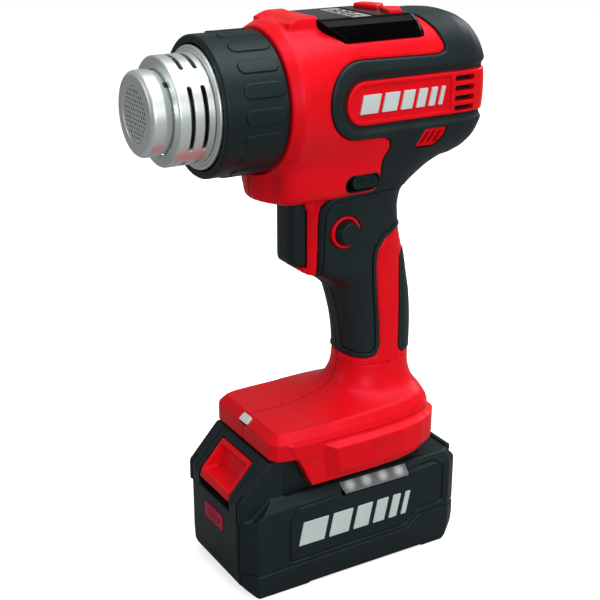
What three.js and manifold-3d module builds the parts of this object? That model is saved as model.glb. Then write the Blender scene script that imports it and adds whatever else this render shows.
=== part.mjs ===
// Cordless heat gun with a slide-on battery pack. Millimetres, +Z up, outlet towards -Y.
// Tables are laid out from the handle datum; SHIFT_Y then centres the whole part on its own box.
import * as THREE from "three";
import { mergeVertices } from "three/addons/utils/BufferGeometryUtils.js";
import Module from "manifold-3d";

const wasm = await Module();
wasm.setup();

// ---------------------------------------------------------------- sizes
const SHIFT_Y = 13.85;
const GAP = 0.3; // clearance between neighbouring mouldings
const SKIN = 1.8; // soft overmould thickness
const WALL = 2.0; // hard shell thickness under the overmould
const AXIS_Z = 279.7; // barrel axis height

// outlet stack, radii and stations along the barrel axis
const CAP_R = 21.4, CAP_FRONT = -113.7, SLEEVE_R = 28.2, SLEEVE_FRONT = -103.2;
const FLANGE_R = 31.8, FLANGE_FRONT = -83.4, FLANGE_BACK = -81.6;
const COLLAR_R = 36.9, COLLAR_FRONT = -80.9, COLLAR_BACK = -46.5, PAD_H = 0.7, PAD_COUNT = 18;

// barrel body: y, half width, half height, exponent
const BARREL = [
  [-46.0, 40.2, 40.2, 2.0], [-44.6, 41.4, 41.4, 2.0], [-36, 39.6, 41.3, 2.1], [-26, 38.0, 41.2, 2.22],
  [-14, 36.5, 41.1, 2.35], [0, 35.4, 41.0, 2.5], [24, 35.0, 41.0, 2.6], [56, 34.6, 40.9, 2.65],
  [66, 34.2, 40.1, 2.65], [73, 33.4, 37.9, 2.62], [78, 31.8, 35.0, 2.6], [82, 28.9, 31.0, 2.55],
  [84.6, 25.2, 26.6, 2.5], [86.0, 20.5, 21.5, 2.45],
];
// handle: z, front y, back y, half width, exponent
const HANDLE = [
  [262, -24, 64, 29, 2.9], [246, -23, 64, 28, 2.9], [240, -22, 60.5, 26.5, 2.8], [236, -21.6, 54.5, 24.6, 2.8],
  [230, -21.2, 45.0, 22.6, 3.2], [224, -21, 39.6, 21.2, 3.4], [215, -21, 38.2, 20.2, 3.4],
  [205, -20.8, 39.4, 19.6, 3.4], [195, -20.5, 41.6, 19.2, 3.4], [186, -20, 44.4, 18.8, 3.3],
  [181, -18.2, 45.9, 18.5, 3.1], [176, -9.5, 47.2, 18.2, 2.8], [170, -2.0, 48.8, 18.0, 2.5],
  [160, 1.0, 50.6, 18.0, 2.5], [150, 3.6, 51.5, 18.0, 2.5], [140, 5.3, 51.9, 18.0, 2.5],
  [130, 6.0, 51.8, 18.0, 2.5], [120, 5.7, 51.4, 18.3, 2.5], [114, 4.4, 51.4, 19.0, 2.5],
  [108, 0.8, 52.8, 20.6, 2.6], [104, -4.5, 54.4, 23.0, 2.7], [100, -13, 56.0, 26.6, 3.0], [96, -20, 56.5, 29.0, 3.2],
];
// chin under the barrel: z, front y, back y, half width
const CHIN = [
  [262, -45.6, 20, 30], [236, -45.6, 20, 27.6], [232, -45.2, 20, 26.7], [229.6, -44.2, 20, 25.0], [228.0, -42.4, 20, 22.4], [227.2, -39.5, 20, 19],
];
// base plan outlines (x, y), right half listed, mirrored
const BASE_PLAN = [[0, -57.4], [30.5, -57.4], [35.2, -54.6], [37.4, -47], [38, -34], [38, 8], [36.6, 26], [33.8, 39], [29.5, 48], [22, 54.6], [0, 57]];
const BASE_TOP_Z = 99.6, BASE_SHOULDER_Z = 93, BASE_SKIRT_Z = 84, BASE_ARM_Z = 65.5;
const BAND_OUT = 2.4; // how far the lower band stands proud of the base

// battery plan outline (x, y)
const PACK_PLAN = [[0, -77.2], [28, -77.2], [31, -75.4], [38, -68.6], [38, 63.5], [32.5, 71], [0, 71]];
const PACK_DECK_Z = 60.5, PACK_TONGUE_Z = 83.2, PACK_TONGUE_X = 29.4, PACK_WALL = 2.4;

// side-view outlines (y, z)
const OVERMOULD = [
  [36.8, 340], [36.8, 322.5], [45.3, 318.8], [49.6, 312.8], [52.7, 304.7], [51.5, 301.6], [46.3, 300.4], [-3.3, 301.5],
  [-15.3, 298], [-21.2, 289.4], [-22.8, 280.8], [-20.9, 271.7], [-16, 264.9], [-8.6, 260.9], [0.8, 259.8],
  [14, 259.6], [18, 256.9], [19, 252.3], [16, 246.6], [16.2, 241], [16.8, 234], [14.4, 228.8], [9.8, 227.4],
  [-8, 227.1], [-12.6, 225.2], [-15.4, 221.6], [-16.3, 216.6], [-16.3, 181], [-40, 180.4], [-40, 134.4], [3, 131], [8, 127.6],
  [15.6, 125.4], [21.6, 126.2], [24.1, 132.3], [23, 150], [21, 170], [19.9, 184.1], [20.6, 191.2], [25.6, 198],
  [35, 201.8], [60, 203], [120, 203], [120, 340],
];
const GRIP = [
  [-13.7, 184.5], [-13.7, 216], [-11.8, 221.2], [-8.2, 223.1], [2, 225], [22, 226.6], [36, 226.4], [50, 228],
  [50, 205.2], [34, 204.6], [23.4, 200.2], [17.6, 192.4], [16.9, 184], [18, 170], [20, 150], [20.8, 133.4], [19.9, 129.8],
  [17.4, 128.6], [10, 130.2], [5, 134.2], [-30, 137.6], [-30, 176.8], [-13.7, 176.8],
];
const NAMEPLATE = [[120, 290.2], [48, 290.4], [-3, 290.7], [-9.1, 287.2], [-12, 279.7], [-9.1, 272], [-2.5, 267.4], [120, 267.4]];
const NAME_RECESS = [[55.5, 288.4], [-1.8, 288.6], [-7, 285.8], [-9.6, 279.4], [-7.2, 273.4], [-1.6, 269.5], [55.5, 269.5]];
const REAR_PAD = [[60, 188.6], [41, 188.2], [37.6, 184.4], [37.4, 128.4], [40.2, 124.6], [60, 124.4]];
const BADGE = [[39.8, 261], [54.4, 261], [53.3, 255.7], [48.6, 250.1], [35.5, 250.4]];
const VENT_Y = [58.5, 72], VENT_Z = [270.3, 275.7, 281.1, 286.5], VENT_H = 2.9;
const PACK_SEAM = [[-90, 16.4], [33, 18.4], [41.5, 25], [90, 25]];

// controls
const COLUMN = [[-23.2, 229], [-23.2, 185.7], [-28.6, 186.0], [-28.2, 184.2], [-21, 181.0], [-16, 180.2], [5, 180.2], [5, 229]];
const COLUMN_X = 13.6;
// small red corners that close the trigger's opening under the chin
const GUSSET = [[-31, 229.5], [-30.2, 227.2], [-27.6, 226.2], [-25.2, 224.2], [-23.6, 221.4], [-22.6, 217.4], [-18, 214], [-18, 229.5]];
const TRIGGER = [[-20.8, 226.2], [-30.4, 226.2], [-31.2, 225.4], [-31.2, 190.4], [-30.2, 187.6], [-27.6, 186.3], [-21.6, 186], [-20.8, 187]];
const TRIGGER_X = 10.4, TRIGGER_TRAVEL = 6;
const BUTTON_Y = -1.5, BUTTON_Z = 205.5, BUTTON_R = 6.4, BEZEL_R = 9.2;
const SLIDER_Z = 234.3, SLIDER_Y = [-0.4, 15.0], SLOT_Y = [-6.8, 15.4], SLIDER_HALF = 4.1;

// battery cells, 21 mm across and 70 mm long, laid across the pack
const CELL_R = 10.5, CELL_LEN = 69.6, CELL_PITCH = 21.5, CELL_COUNT = 5, CELL_Y0 = -43, CELL_Z = [14.4, 36.4];

// ---------------------------------------------------------------- helpers
const V = (x, y, z) => new THREE.Vector3(x, y, z);

function solid(geometry) {
  const g = geometry.clone();
  g.deleteAttribute("normal");
  g.deleteAttribute("uv");
  const m = mergeVertices(g, 1e-4);
  return new wasm.Manifold(new wasm.Mesh({
    numProp: 3, vertProperties: new Float32Array(m.attributes.position.array), triVerts: new Uint32Array(m.index.array),
  }));
}

function geometryOf(manifold, fine) {
  const mesh = manifold.asOriginal().simplify(fine).getMesh();
  const pos = new Float32Array(mesh.numVert * 3);
  for (let i = 0; i < mesh.numVert; i++) for (let k = 0; k < 3; k++) pos[3 * i + k] = mesh.vertProperties[i * mesh.numProp + k];
  const g = new THREE.BufferGeometry();
  g.setAttribute("position", new THREE.BufferAttribute(pos, 3));
  g.setIndex([...mesh.triVerts]);
  const flat = g.toNonIndexed();
  flat.computeVertexNormals();
  return flat;
}

// Rings of the same number of points, joined side to side, with a fan on each end.
function loft(rings) {
  const n = rings[0].length, pos = [], idx = [];
  for (const r of rings) for (const p of r) pos.push(...p);
  for (let s = 0; s + 1 < rings.length; s++)
    for (let i = 0; i < n; i++) {
      const j = (i + 1) % n, a = s * n + i, b = s * n + j, c = a + n, d = b + n;
      idx.push(a, b, d, a, d, c);
    }
  for (const [s, flip] of [[0, true], [rings.length - 1, false]]) {
    const c = pos.length / 3, mean = [0, 0, 0];
    for (const p of rings[s]) for (let k = 0; k < 3; k++) mean[k] += p[k] / n;
    pos.push(...mean);
    for (let i = 0; i < n; i++) {
      const a = s * n + i, b = s * n + ((i + 1) % n);
      idx.push(...(flip ? [c, b, a] : [c, a, b]));
    }
  }
  const g = new THREE.BufferGeometry();
  g.setAttribute("position", new THREE.Float32BufferAttribute(pos, 3));
  g.setIndex(idx);
  const m = solid(g);
  if (m.volume() >= 0) return m;
  for (let i = 0; i < idx.length; i += 3) [idx[i + 1], idx[i + 2]] = [idx[i + 2], idx[i + 1]];
  g.setIndex(idx);
  return solid(g);
}

const superRing = (n, a, b, e, place) => Array.from({ length: n }, (_, i) => {
  const t = ((i + 0.5) / n) * Math.PI * 2, c = Math.cos(t), s = Math.sin(t);
  return place(a * Math.sign(c) * Math.abs(c) ** (2 / e), b * Math.sign(s) * Math.abs(s) ** (2 / e));
});

function barrelSolid(inset, y0 = -1e9, n = 36) {
  const last = BARREL[BARREL.length - 1];
  const rows = BARREL.map(([y, a, b, e]) => [y, a - inset, b - inset, e]).filter(([y]) => y - inset * 0 >= y0);
  if (inset > 0) rows.forEach((r) => { if (r[0] > 60) r[0] = Math.min(r[0], last[0] - inset) - (r[0] - 60) * inset * 0.012; });
  return loft(rows.map(([y, a, b, e]) => superRing(n, a, b, e, (u, v) => [u, y, AXIS_Z + v])));
}
function handleSolid(inset, n = 26, extra = 0) {
  return loft(HANDLE.map(([z, f, k, w, e]) => superRing(n, w - inset, (k - f) / 2 - inset, e, (u, v) => [u, (k + f) / 2 + v, z + extra])));
}
function chinSolid(inset) {
  return loft(CHIN.map(([z, f, k, w], i) => superRing(24, w - inset, (k - f) / 2 - inset, 3.6,
    (u, v) => [u, (k + f) / 2 + v, z + (i === CHIN.length - 1 ? inset : i > 1 ? inset * 0.7 : 0)])));
}
function extrude(points, axis, from, to) {
  // points are (y, z) for axis x, (x, z) for axis y, (x, y) for axis z
  const shape = new THREE.Shape(points.map(([a, b]) => new THREE.Vector2(a, b)));
  const g = new THREE.ExtrudeGeometry(shape, { depth: to - from, bevelEnabled: false, curveSegments: 8 });
  const m = new THREE.Matrix4();
  if (axis === "x") m.makeBasis(V(0, 1, 0), V(0, 0, 1), V(1, 0, 0)).setPosition(from, 0, 0);
  if (axis === "y") m.makeBasis(V(1, 0, 0), V(0, 0, 1), V(0, -1, 0)).setPosition(0, to, 0);
  if (axis === "z") m.setPosition(0, 0, from);
  return solid(g.applyMatrix4(m));
}
function box(x0, x1, y0, y1, z0, z1) {
  return solid(new THREE.BoxGeometry(x1 - x0, y1 - y0, z1 - z0).translate((x0 + x1) / 2, (y0 + y1) / 2, (z0 + z1) / 2));
}
// Profile of (radius, station) turned round an axis; stations run along +Y, +X or +Z.
function turned(profile, axis, at, n = 40) {
  const g = new THREE.LatheGeometry(profile.map(([r, s]) => new THREE.Vector2(r, s)), n);
  if (axis === "x") g.rotateZ(-Math.PI / 2);
  if (axis === "z") g.rotateX(Math.PI / 2);
  g.translate(...at);
  const m = solid(g);
  if (m.volume() >= 0) return m;
  const turnedRound = new THREE.LatheGeometry(profile.slice().reverse().map(([r, s]) => new THREE.Vector2(r, s)), n);
  if (axis === "x") turnedRound.rotateZ(-Math.PI / 2);
  if (axis === "z") turnedRound.rotateX(Math.PI / 2);
  return solid(turnedRound.translate(...at));
}
const ring = (ri, ro, s0, s1, at, n = 40, axis = "y") =>
  turned([[ri, s0], [ro, s0], [ro, s1], [ri, s1], [ri, s0]], axis, at, n);
const disc = (r, s0, s1, at, n = 40, axis = "y") => turned([[0, s0], [r, s0], [r, s1], [0, s1]], axis, at, n);
const onAxis = [0, 0, AXIS_Z];
const mirrorX = (pts) => [...pts, ...pts.slice().reverse().filter(([x]) => x > 1e-6).map(([x, y]) => [-x, y])];
const grow = (pts, d) => { // moves every side of a closed outline outwards by d
  let area = 0;
  pts.forEach(([x, y], i) => { const [u, v] = pts[(i + 1) % pts.length]; area += x * v - u * y; });
  const s = Math.sign(area) * d;
  return pts.map((p, i) => {
    const a = pts[(i + pts.length - 1) % pts.length], b = pts[(i + 1) % pts.length];
    const n1 = [p[1] - a[1], a[0] - p[0]], n2 = [b[1] - p[1], p[0] - b[0]];
    const l1 = Math.hypot(...n1), l2 = Math.hypot(...n2);
    const k = 1 + (n1[0] * n2[0] + n1[1] * n2[1]) / (l1 * l2);
    const q = Math.max(k, 0.4);
    return [p[0] + (s * (n1[0] / l1 + n2[0] / l2)) / q, p[1] + (s * (n1[1] / l1 + n2[1] / l2)) / q];
  });
};
const half = (m, side) => m.trimByPlane([side, 0, 0], GAP / 2);
const join = (...m) => m.reduce((a, b) => a.add(b));

// ---------------------------------------------------------------- materials
const red = () => new THREE.MeshStandardMaterial({ color: 0xd0141c, roughness: 0.42, metalness: 0 });
const redDark = () => new THREE.MeshStandardMaterial({ color: 0xa8182e, roughness: 0.45, metalness: 0 });
const soft = () => new THREE.MeshStandardMaterial({ color: 0x26302f, roughness: 0.75, metalness: 0 });
const dark = () => new THREE.MeshStandardMaterial({ color: 0x2a3334, roughness: 0.55, metalness: 0 });
const black = () => new THREE.MeshStandardMaterial({ color: 0x050505, roughness: 0.15, metalness: 0 });
const steel = () => new THREE.MeshStandardMaterial({ color: 0xb9bfc4, roughness: 0.3, metalness: 1 });
const zinc = () => new THREE.MeshStandardMaterial({ color: 0x8d9296, roughness: 0.35, metalness: 1 });
const copper = () => new THREE.MeshStandardMaterial({ color: 0xb8864a, roughness: 0.35, metalness: 1 });
const board = () => new THREE.MeshStandardMaterial({ color: 0x1d5a34, roughness: 0.5, metalness: 0 });
const mica = () => new THREE.MeshStandardMaterial({ color: 0xc9b98f, roughness: 0.6, metalness: 0 });
const ceramic = () => new THREE.MeshStandardMaterial({ color: 0xe6e0d2, roughness: 0.7, metalness: 0 });
const lens = () => new THREE.MeshStandardMaterial({ color: 0xc9cdd0, roughness: 0.2, metalness: 0 });
const cellSkin = () => new THREE.MeshStandardMaterial({ color: 0x2e6fb0, roughness: 0.4, metalness: 0 });

const group = new THREE.Group();
group.name = "heat_gun";
function put(name, manifold, material, fine = 0.04) {
  const mesh = new THREE.Mesh(geometryOf(manifold.translate([0, SHIFT_Y, 0]), fine), material);
  mesh.name = name;
  group.add(mesh);
}

// ---------------------------------------------------------------- housing halves
const prismX = (pts, d = 0) => extrude(d ? grow(pts, d) : pts, "x", -60, 60);
const baseLoft = (inset, z0, z1, chamfer) => {
  const plan = grow(mirrorX(BASE_PLAN), -inset);
  const small = grow(mirrorX(BASE_PLAN), -inset - chamfer);
  return loft([plan.map(([x, y]) => [x, y, z0]), plan.map(([x, y]) => [x, y, z1 - chamfer * 1.35]), small.map(([x, y]) => [x, y, z1])]);
};
const bandPlan = grow(mirrorX(BASE_PLAN), BAND_OUT), basePlan = mirrorX(BASE_PLAN);
const bandIn = grow(mirrorX(BASE_PLAN), -3);
const band = loft([
  bandIn.map(([x, y]) => [x, y, BASE_ARM_Z]), bandPlan.map(([x, y]) => [x, y, 70.5]), bandPlan.map(([x, y]) => [x, y, 84.6]),
  basePlan.map(([x, y]) => [x, y, 88.6]), bandIn.map(([x, y]) => [x, y, 89]),
]).intersect(box(-60, 60, -22, 70, 60, 90));
const armPlan = extrude([[-40.5, 90], [-37.6, 77.4], [-32, BASE_ARM_Z], [60, BASE_ARM_Z], [60, 90]], "x", -60, 60)
  .intersect(baseLoft(1.2, 60, 92, 0.5));
const baseOuter = join(baseLoft(0, BASE_SKIRT_Z, BASE_TOP_Z, 4.8), armPlan, band);

const columnPlan = [[-COLUMN_X, 6], [-COLUMN_X, -19.2], [-COLUMN_X + 4, -23.2], [-COLUMN_X + 4, -30], [COLUMN_X - 4, -30], [COLUMN_X - 4, -23.2], [COLUMN_X, -19.2], [COLUMN_X, 6]];
const column = extrude(COLUMN, "x", -COLUMN_X, COLUMN_X).intersect(extrude(columnPlan, "z", 150, 260));
const gusset = extrude(GUSSET, "x", -13.4, 13.4);
const outer = join(barrelSolid(0), handleSolid(0), chinSolid(0), column, gusset, baseOuter);
const mid = join(barrelSolid(SKIN + GAP), handleSolid(SKIN + GAP)); // seat of the overmould
const skinBack = join(barrelSolid(SKIN), handleSolid(SKIN)); // back of the overmould
const brow = loft([
  [[-19.4, -36.6, 310], [19.4, -36.6, 310], [19.4, -8, 310], [-19.4, -8, 310]],
  [[-19, -36.2, 320.4], [19, -36.2, 320.4], [19, -8, 320.4], [-19, -8, 320.4]],
  [[-18.4, -31.2, 322.8], [18.4, -31.2, 322.8], [18.4, -8, 322.8], [-18.4, -8, 322.8]],
  [[-17.2, -29.2, 323.6], [17.2, -29.2, 323.6], [17.2, -8, 323.6], [-17.2, -8, 323.6]],
]);

// spaces inside the shells
const bore = disc(36.4, -60, 30, onAxis, 40);
const barrelRoom = join(barrelSolid(SKIN + WALL).intersect(box(-60, 60, -41, 100, 200, 340)), disc(34.6, -50, -38, onAxis, 40));
const handleRoom = handleSolid(SKIN + WALL).intersect(box(-60, 60, -60, 100, 97, 330));
const chinRoom = chinSolid(2.4).intersect(box(-40, 40, -60, 22, 215, 256));
const baseRoom = baseLoft(2.4, 86.4, BASE_TOP_Z - 2.4, 4.4);
const tongueRoom = box(-PACK_TONGUE_X - 0.5, PACK_TONGUE_X + 0.5, -90, 47, 40, PACK_TONGUE_Z + 0.6);
const terminalHole = box(-19.6, 19.6, 8, 44, 80, 90);
const triggerHole = box(-TRIGGER_X - 0.4, TRIGGER_X + 0.4, -32, 0, 185.6, 226.7);
const sliderSlot = (side) => {
  const pts = [];
  for (let i = 0; i <= 12; i++) { const t = Math.PI / 2 + (i / 12) * Math.PI; pts.push([SLOT_Y[0] + 4.4 + Math.cos(t) * 4.4, SLIDER_Z + Math.sin(t) * 4.4]); }
  for (let i = 0; i <= 12; i++) { const t = -Math.PI / 2 + (i / 12) * Math.PI; pts.push([SLOT_Y[1] - 4.4 + Math.cos(t) * 4.4, SLIDER_Z + Math.sin(t) * 4.4]); }
  return extrude(pts, "x", side > 0 ? 16 : -40, side > 0 ? 40 : -16);
};
const vents = VENT_Z.map((z) => box(-60, 60, VENT_Y[0], VENT_Y[1], z - VENT_H / 2, z + VENT_H / 2)).reduce((a, b) => a.add(b));
const badgeRoom = prismX(BADGE, GAP).subtract(box(-22.4, 22.4, -100, 100, 200, 300));
const displayRing = (dx, y0, y1, z) => [[-dx, y0 + 12, z], [-dx * 0.62, y0 + 4, z], [0, y0, z], [dx * 0.62, y0 + 4, z], [dx, y0 + 12, z], [dx, y1 - 4, z], [dx - 3.4, y1, z], [-dx + 3.4, y1, z], [-dx, y1 - 4, z]];
const displayRoom = loft([displayRing(28.7, -24.8, 43, 309.4), displayRing(28.7, -24.8, 43, 340)]).add(box(-21, 21, -8, 40, 304, 310));
// hard shell: full outer form where bare, sunk by the overmould thickness where covered
const covered = join(prismX(OVERMOULD, GAP), prismX(NAMEPLATE, GAP), prismX(REAR_PAD, GAP + 0.2));
const coveredWide = join(prismX(OVERMOULD, GAP + 0.25), prismX(NAMEPLATE, GAP + 0.25), prismX(REAR_PAD, GAP + 0.45));
const bareOuter = outer.subtract(covered).add(mid.intersect(coveredWide));
const windowAt = [0, -55.2, 96.4];
const workWindow = solid(new THREE.BoxGeometry(9.4, 14, 5.8).rotateX(-0.87).translate(...windowAt));
const shell = bareOuter.add(brow)
  .subtract(barrelRoom).subtract(handleRoom).subtract(chinRoom).subtract(baseRoom)
  .subtract(tongueRoom).subtract(terminalHole).subtract(triggerHole).subtract(vents).subtract(badgeRoom)
  .subtract(displayRoom).subtract(sliderSlot(1)).subtract(workWindow)
  .subtract(disc(BEZEL_R + GAP, 10, 40, [0, BUTTON_Y, BUTTON_Z], 28, "x"));
const biggest = (m) => m.decompose().sort((a, b) => b.volume() - a.volume())[0];
const shellLeft = biggest(half(shell, 1)), shellRightBare = biggest(half(shell, -1));
put("housing_left", shellLeft, red(), 0.06);

// screws come in from the far side of the right half
let shellRight = shellRightBare;
const screws = [];
const screwSeat = [[-30, 303, -27], [-30, 256.5, -27], [70, 300, -22], [66, 259, -24], [7, 243.5, -26.2], [30, 152, -12.6], [-34, 90.4, -36.2], [30, 90.4, -33.4]];
screwSeat.forEach(([y, z, x], i) => {
  shellRight = shellRight.subtract(disc(3.5, x - 30, x, [0, y, z], 18, "x"));
});
put("housing_right", biggest(shellRight), red(), 0.06);

// ---------------------------------------------------------------- soft overmoulds, plates, pads
const outerSkin = join(barrelSolid(0), handleSolid(0));
const skin = outerSkin.subtract(skinBack);
const overmould = skin.intersect(prismX(OVERMOULD)).subtract(triggerHole).subtract(prismX(NAMEPLATE, GAP)).subtract(prismX(GRIP, GAP).subtract(box(-4.3, 4.3, -60, 11.7, 120, 183.1)))
  .subtract(prismX(BADGE, GAP)).subtract(displayRoom).subtract(sliderSlot(1)).subtract(baseOuter)
  .subtract(join(disc(BEZEL_R + GAP, 10, 40, [0, BUTTON_Y, BUTTON_Z], 28, "x")));
put("overmould_left", biggest(half(overmould, 1)), soft());
put("overmould_right", biggest(half(overmould, -1)), soft());
const gripFront = (d) => box(-4.6 + d, 4.6 - d, -60, 12, 120, 183.4);
const grip = skin.intersect(prismX(GRIP)).subtract(gripFront(0)).subtract(triggerHole).subtract(disc(BEZEL_R + GAP, 10, 40, [0, BUTTON_Y, BUTTON_Z], 28, "x"));
put("grip_pad_left", biggest(half(grip, 1)), soft());
put("grip_pad_right", biggest(half(grip, -1)), soft());
const plateSkin = barrelSolid(0).subtract(barrelSolid(SKIN)).intersect(prismX(NAMEPLATE)).subtract(vents)
  .subtract(prismX(NAME_RECESS).subtract(barrelSolid(0.8)));
put("nameplate_left", biggest(half(plateSkin, 1)), red());
put("nameplate_right", biggest(half(plateSkin, -1)), red());
put("rear_grip_pad", biggest(handleSolid(0).subtract(handleSolid(SKIN)).intersect(prismX(REAR_PAD))), soft());
const badgeSlots = [0, 1, 2].map((i) => extrude([[41.6 + i * 4.1, 259.2], [43.9 + i * 4.1, 259.2], [41.1 + i * 4.1, 252.2], [38.8 + i * 4.1, 252.2]], "x", -60, 60)).reduce((a, b) => a.add(b));
const badgeSolid = barrelSolid(0.1).intersect(prismX(BADGE)).subtract(barrelSolid(SKIN + WALL - 0.4)).subtract(badgeSlots);
put("vent_badge_left", biggest(half(badgeSolid, 1)), red());
put("vent_badge_right", biggest(half(badgeSolid, -1)), red());

// ---------------------------------------------------------------- outlet
put("outlet_cap", turned([[14.6, CAP_FRONT + 0.9], [15.6, CAP_FRONT], [20.4, CAP_FRONT], [CAP_R, CAP_FRONT + 1], [CAP_R, SLEEVE_FRONT + 2], [20.4, SLEEVE_FRONT + 2],
  [20.4, CAP_FRONT + 2.2], [14.6, CAP_FRONT + 2.2], [14.6, CAP_FRONT + 0.9]], "y", onAxis, 40), steel());
const meshHoles = [];
for (let r = 0; r < 3; r++) { const n = r ? r * 6 : 1; for (let i = 0; i < n; i++) { const t = (i / n) * 2 * Math.PI + r * 0.3; meshHoles.push([Math.cos(t) * r * 4.4, Math.sin(t) * r * 4.4]); } }
let meshDisc = disc(20.1, CAP_FRONT + 2.6, CAP_FRONT + 3.2, onAxis, 36);
meshHoles.forEach(([x, z]) => { meshDisc = meshDisc.subtract(disc(1.3, CAP_FRONT - 1, CAP_FRONT + 6, [x, 0, AXIS_Z + z], 6)); });
put("outlet_mesh", meshDisc, steel());
let sleeve = turned([[21.7, SLEEVE_FRONT], [27.2, SLEEVE_FRONT], [SLEEVE_R, SLEEVE_FRONT + 1], [SLEEVE_R, FLANGE_FRONT - 0.3], [27.2, FLANGE_FRONT - 0.3],
  [27.2, SLEEVE_FRONT + 1.2], [21.7, SLEEVE_FRONT + 1.2], [21.7, SLEEVE_FRONT]], "y", onAxis, 40);
for (let i = 0; i < 8; i++) {
  const cut = (y0, y1, half) => {
    const c = box(15, 40, y0, y1, -half, half);
    return c.rotate([0, i * 45 + (y0 < -94 ? 22.5 : 0), 0]).translate([0, 0, AXIS_Z]);
  };
  sleeve = sleeve.subtract(cut(-98.6, -95.6, 8.4)).subtract(cut(-91.4, -88.4, 8.4));
}
put("heat_shield_sleeve", sleeve, steel());
put("flange_ring", turned([[21.2, FLANGE_FRONT], [FLANGE_R - 0.5, FLANGE_FRONT], [FLANGE_R, FLANGE_FRONT + 0.5], [FLANGE_R, FLANGE_BACK], [21.2, FLANGE_BACK], [21.2, FLANGE_FRONT]], "y", onAxis, 40), steel());

// ---------------------------------------------------------------- collar
let collar = turned([[32.6, COLLAR_FRONT], [34.2, COLLAR_FRONT], [35.9, COLLAR_FRONT + 1], [COLLAR_R, COLLAR_FRONT + 3.4], [COLLAR_R, COLLAR_BACK - 0.7], [COLLAR_R - 0.7, COLLAR_BACK],
  [34.9, COLLAR_BACK], [34.9, COLLAR_FRONT + 5], [32.6, COLLAR_FRONT + 3], [32.6, COLLAR_FRONT]], "y", onAxis, 54);
for (let i = 0; i < PAD_COUNT; i++) {
  const pad = box(COLLAR_R - 1.2, COLLAR_R + PAD_H, -71.5, COLLAR_BACK - 2.2, -3.7, 3.7).rotate([0, (360 / PAD_COUNT) * (i + 0.5), 0]).translate([0, 0, AXIS_Z]);
  collar = collar.add(pad);
}
put("collar", collar, soft());

// ---------------------------------------------------------------- air path inside
put("mica_tube", ring(19.4, 20.0, CAP_FRONT + 5, -42, onAxis, 36), mica());
const former = [0, 60, 120].map((a) => box(-18.1, 18.1, -104, -50, -0.6, 0.6).rotate([0, a, 0]).translate([0, 0, AXIS_Z])).reduce((a, b) => a.add(b))
  .add(disc(3.4, -104, -50, onAxis, 16));
put("heater_former", former, ceramic());
for (const [name, r] of [["heating_coil", 18.9]]) {
  let coil = null;
  for (let i = 0; i < 5; i++) { const t = ring(18.6, 19.2, -100 + i * 10, -98.4 + i * 10, onAxis, 20); coil = coil ? coil.add(t) : t; }
  for (const a of [22.5]) coil = coil.add(box(18.5, 19.05, -100, -58.6, -0.7, 0.7).rotate([0, a, 0]).translate([0, 0, AXIS_Z]));
  put(name, coil, zinc());
}
put("thermocouple", disc(0.9, -106.5, -104.4, [0, 0, AXIS_Z], 12).add(disc(0.5, -108.4, -106.4, [0, 0, AXIS_Z], 10)), steel());
put("front_bulkhead", turned([[20.3, -44.5], [34.2, -44.5], [34.2, -42.6], [29.8, -42.6], [29.8, 8], [28.6, 8], [28.6, -41.2], [20.3, -41.2], [20.3, -44.5]], "y", onAxis, 40), dark());
// impeller with seven blades and its shaft; motor behind it
let impeller = disc(9.6, -26, -12, onAxis, 28).subtract(disc(1.65, -30, 0, onAxis, 16));
for (let i = 0; i < 7; i++) {
  const blade = extrude([[-25.2, -1.2], [-24.2, -1.2], [-13, 4.4], [-14, 4.4]].map(([y, t]) => [t, y]), "z", 8.8, 27.8)
    .rotate([0, (360 / 7) * i, 0]).translate([0, 0, AXIS_Z]);
  impeller = impeller.add(blade);
}
put("fan_impeller", impeller, dark());
put("motor_shaft", disc(1.6, -29, 1, onAxis, 16), steel());
put("fan_motor", turned([[2.4, 0], [13.8, 0], [14.2, 0.6], [14.2, 34], [13.6, 34.6], [5, 34.6], [5, 37], [0, 37], [0, 2], [2.4, 2], [2.4, 0]], "y", onAxis, 32), zinc());
const spider = ring(14.6, 16.4, 6, 16, onAxis, 28)
  .add([45, 135, 225, 315].map((a) => box(16, 30.4, 8.6, 12, -1.2, 1.2).rotate([0, a, 0]).translate([0, 0, AXIS_Z])).reduce((a, b) => a.add(b)));
put("motor_mount", spider, dark());
put("control_board", box(-20, 20, 8, 56, 249.6, 251.2).add(box(-14, 6, 20, 44, 251.1, 257)).add(box(9, 17, 12, 20, 251.1, 255)), board());

// ---------------------------------------------------------------- display
const displayForm = loft([displayRing(28.2, -20, 42.6, 309.8), displayRing(27.2, -21.4, 42.2, 313.6), displayRing(24.6, -23, 41.4, 318.4), displayRing(21.6, -23.6, 40.4, 321.2), displayRing(19.8, -22.8, 39.4, 321.8)]);
const lcdHole = box(-19, 19, 1.6, 15.4, 319.7, 330);
const BUTTON_PLAN = [[1.4, 29.4], [17.2, 24.6], [19, 32.2], [7.4, 38.4]];
const buttonPlan = (s, d) => grow(BUTTON_PLAN.map(([x, y]) => [x * s, y]), d);
const displayShell = displayForm.subtract(loft([displayRing(25.8, -17.6, 40.2, 309), displayRing(24.6, -18.6, 40, 313), displayRing(22, -20, 39, 316.6), displayRing(19.6, -20.6, 38, 319)]))
  .subtract(box(-16, 16, 3, 14, 310, 330)).subtract(lcdHole)
  .subtract(extrude(buttonPlan(1, 0.35), "z", 312, 330)).subtract(extrude(buttonPlan(-1, 0.35), "z", 312, 330));
put("display_housing", biggest(displayShell), black());
put("lcd_panel", box(-18.7, 18.7, 1.9, 15.1, 320.0, 321.3), lens());
put("display_board", box(-19, 19, -6, 39, 311.6, 313), board());
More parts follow.
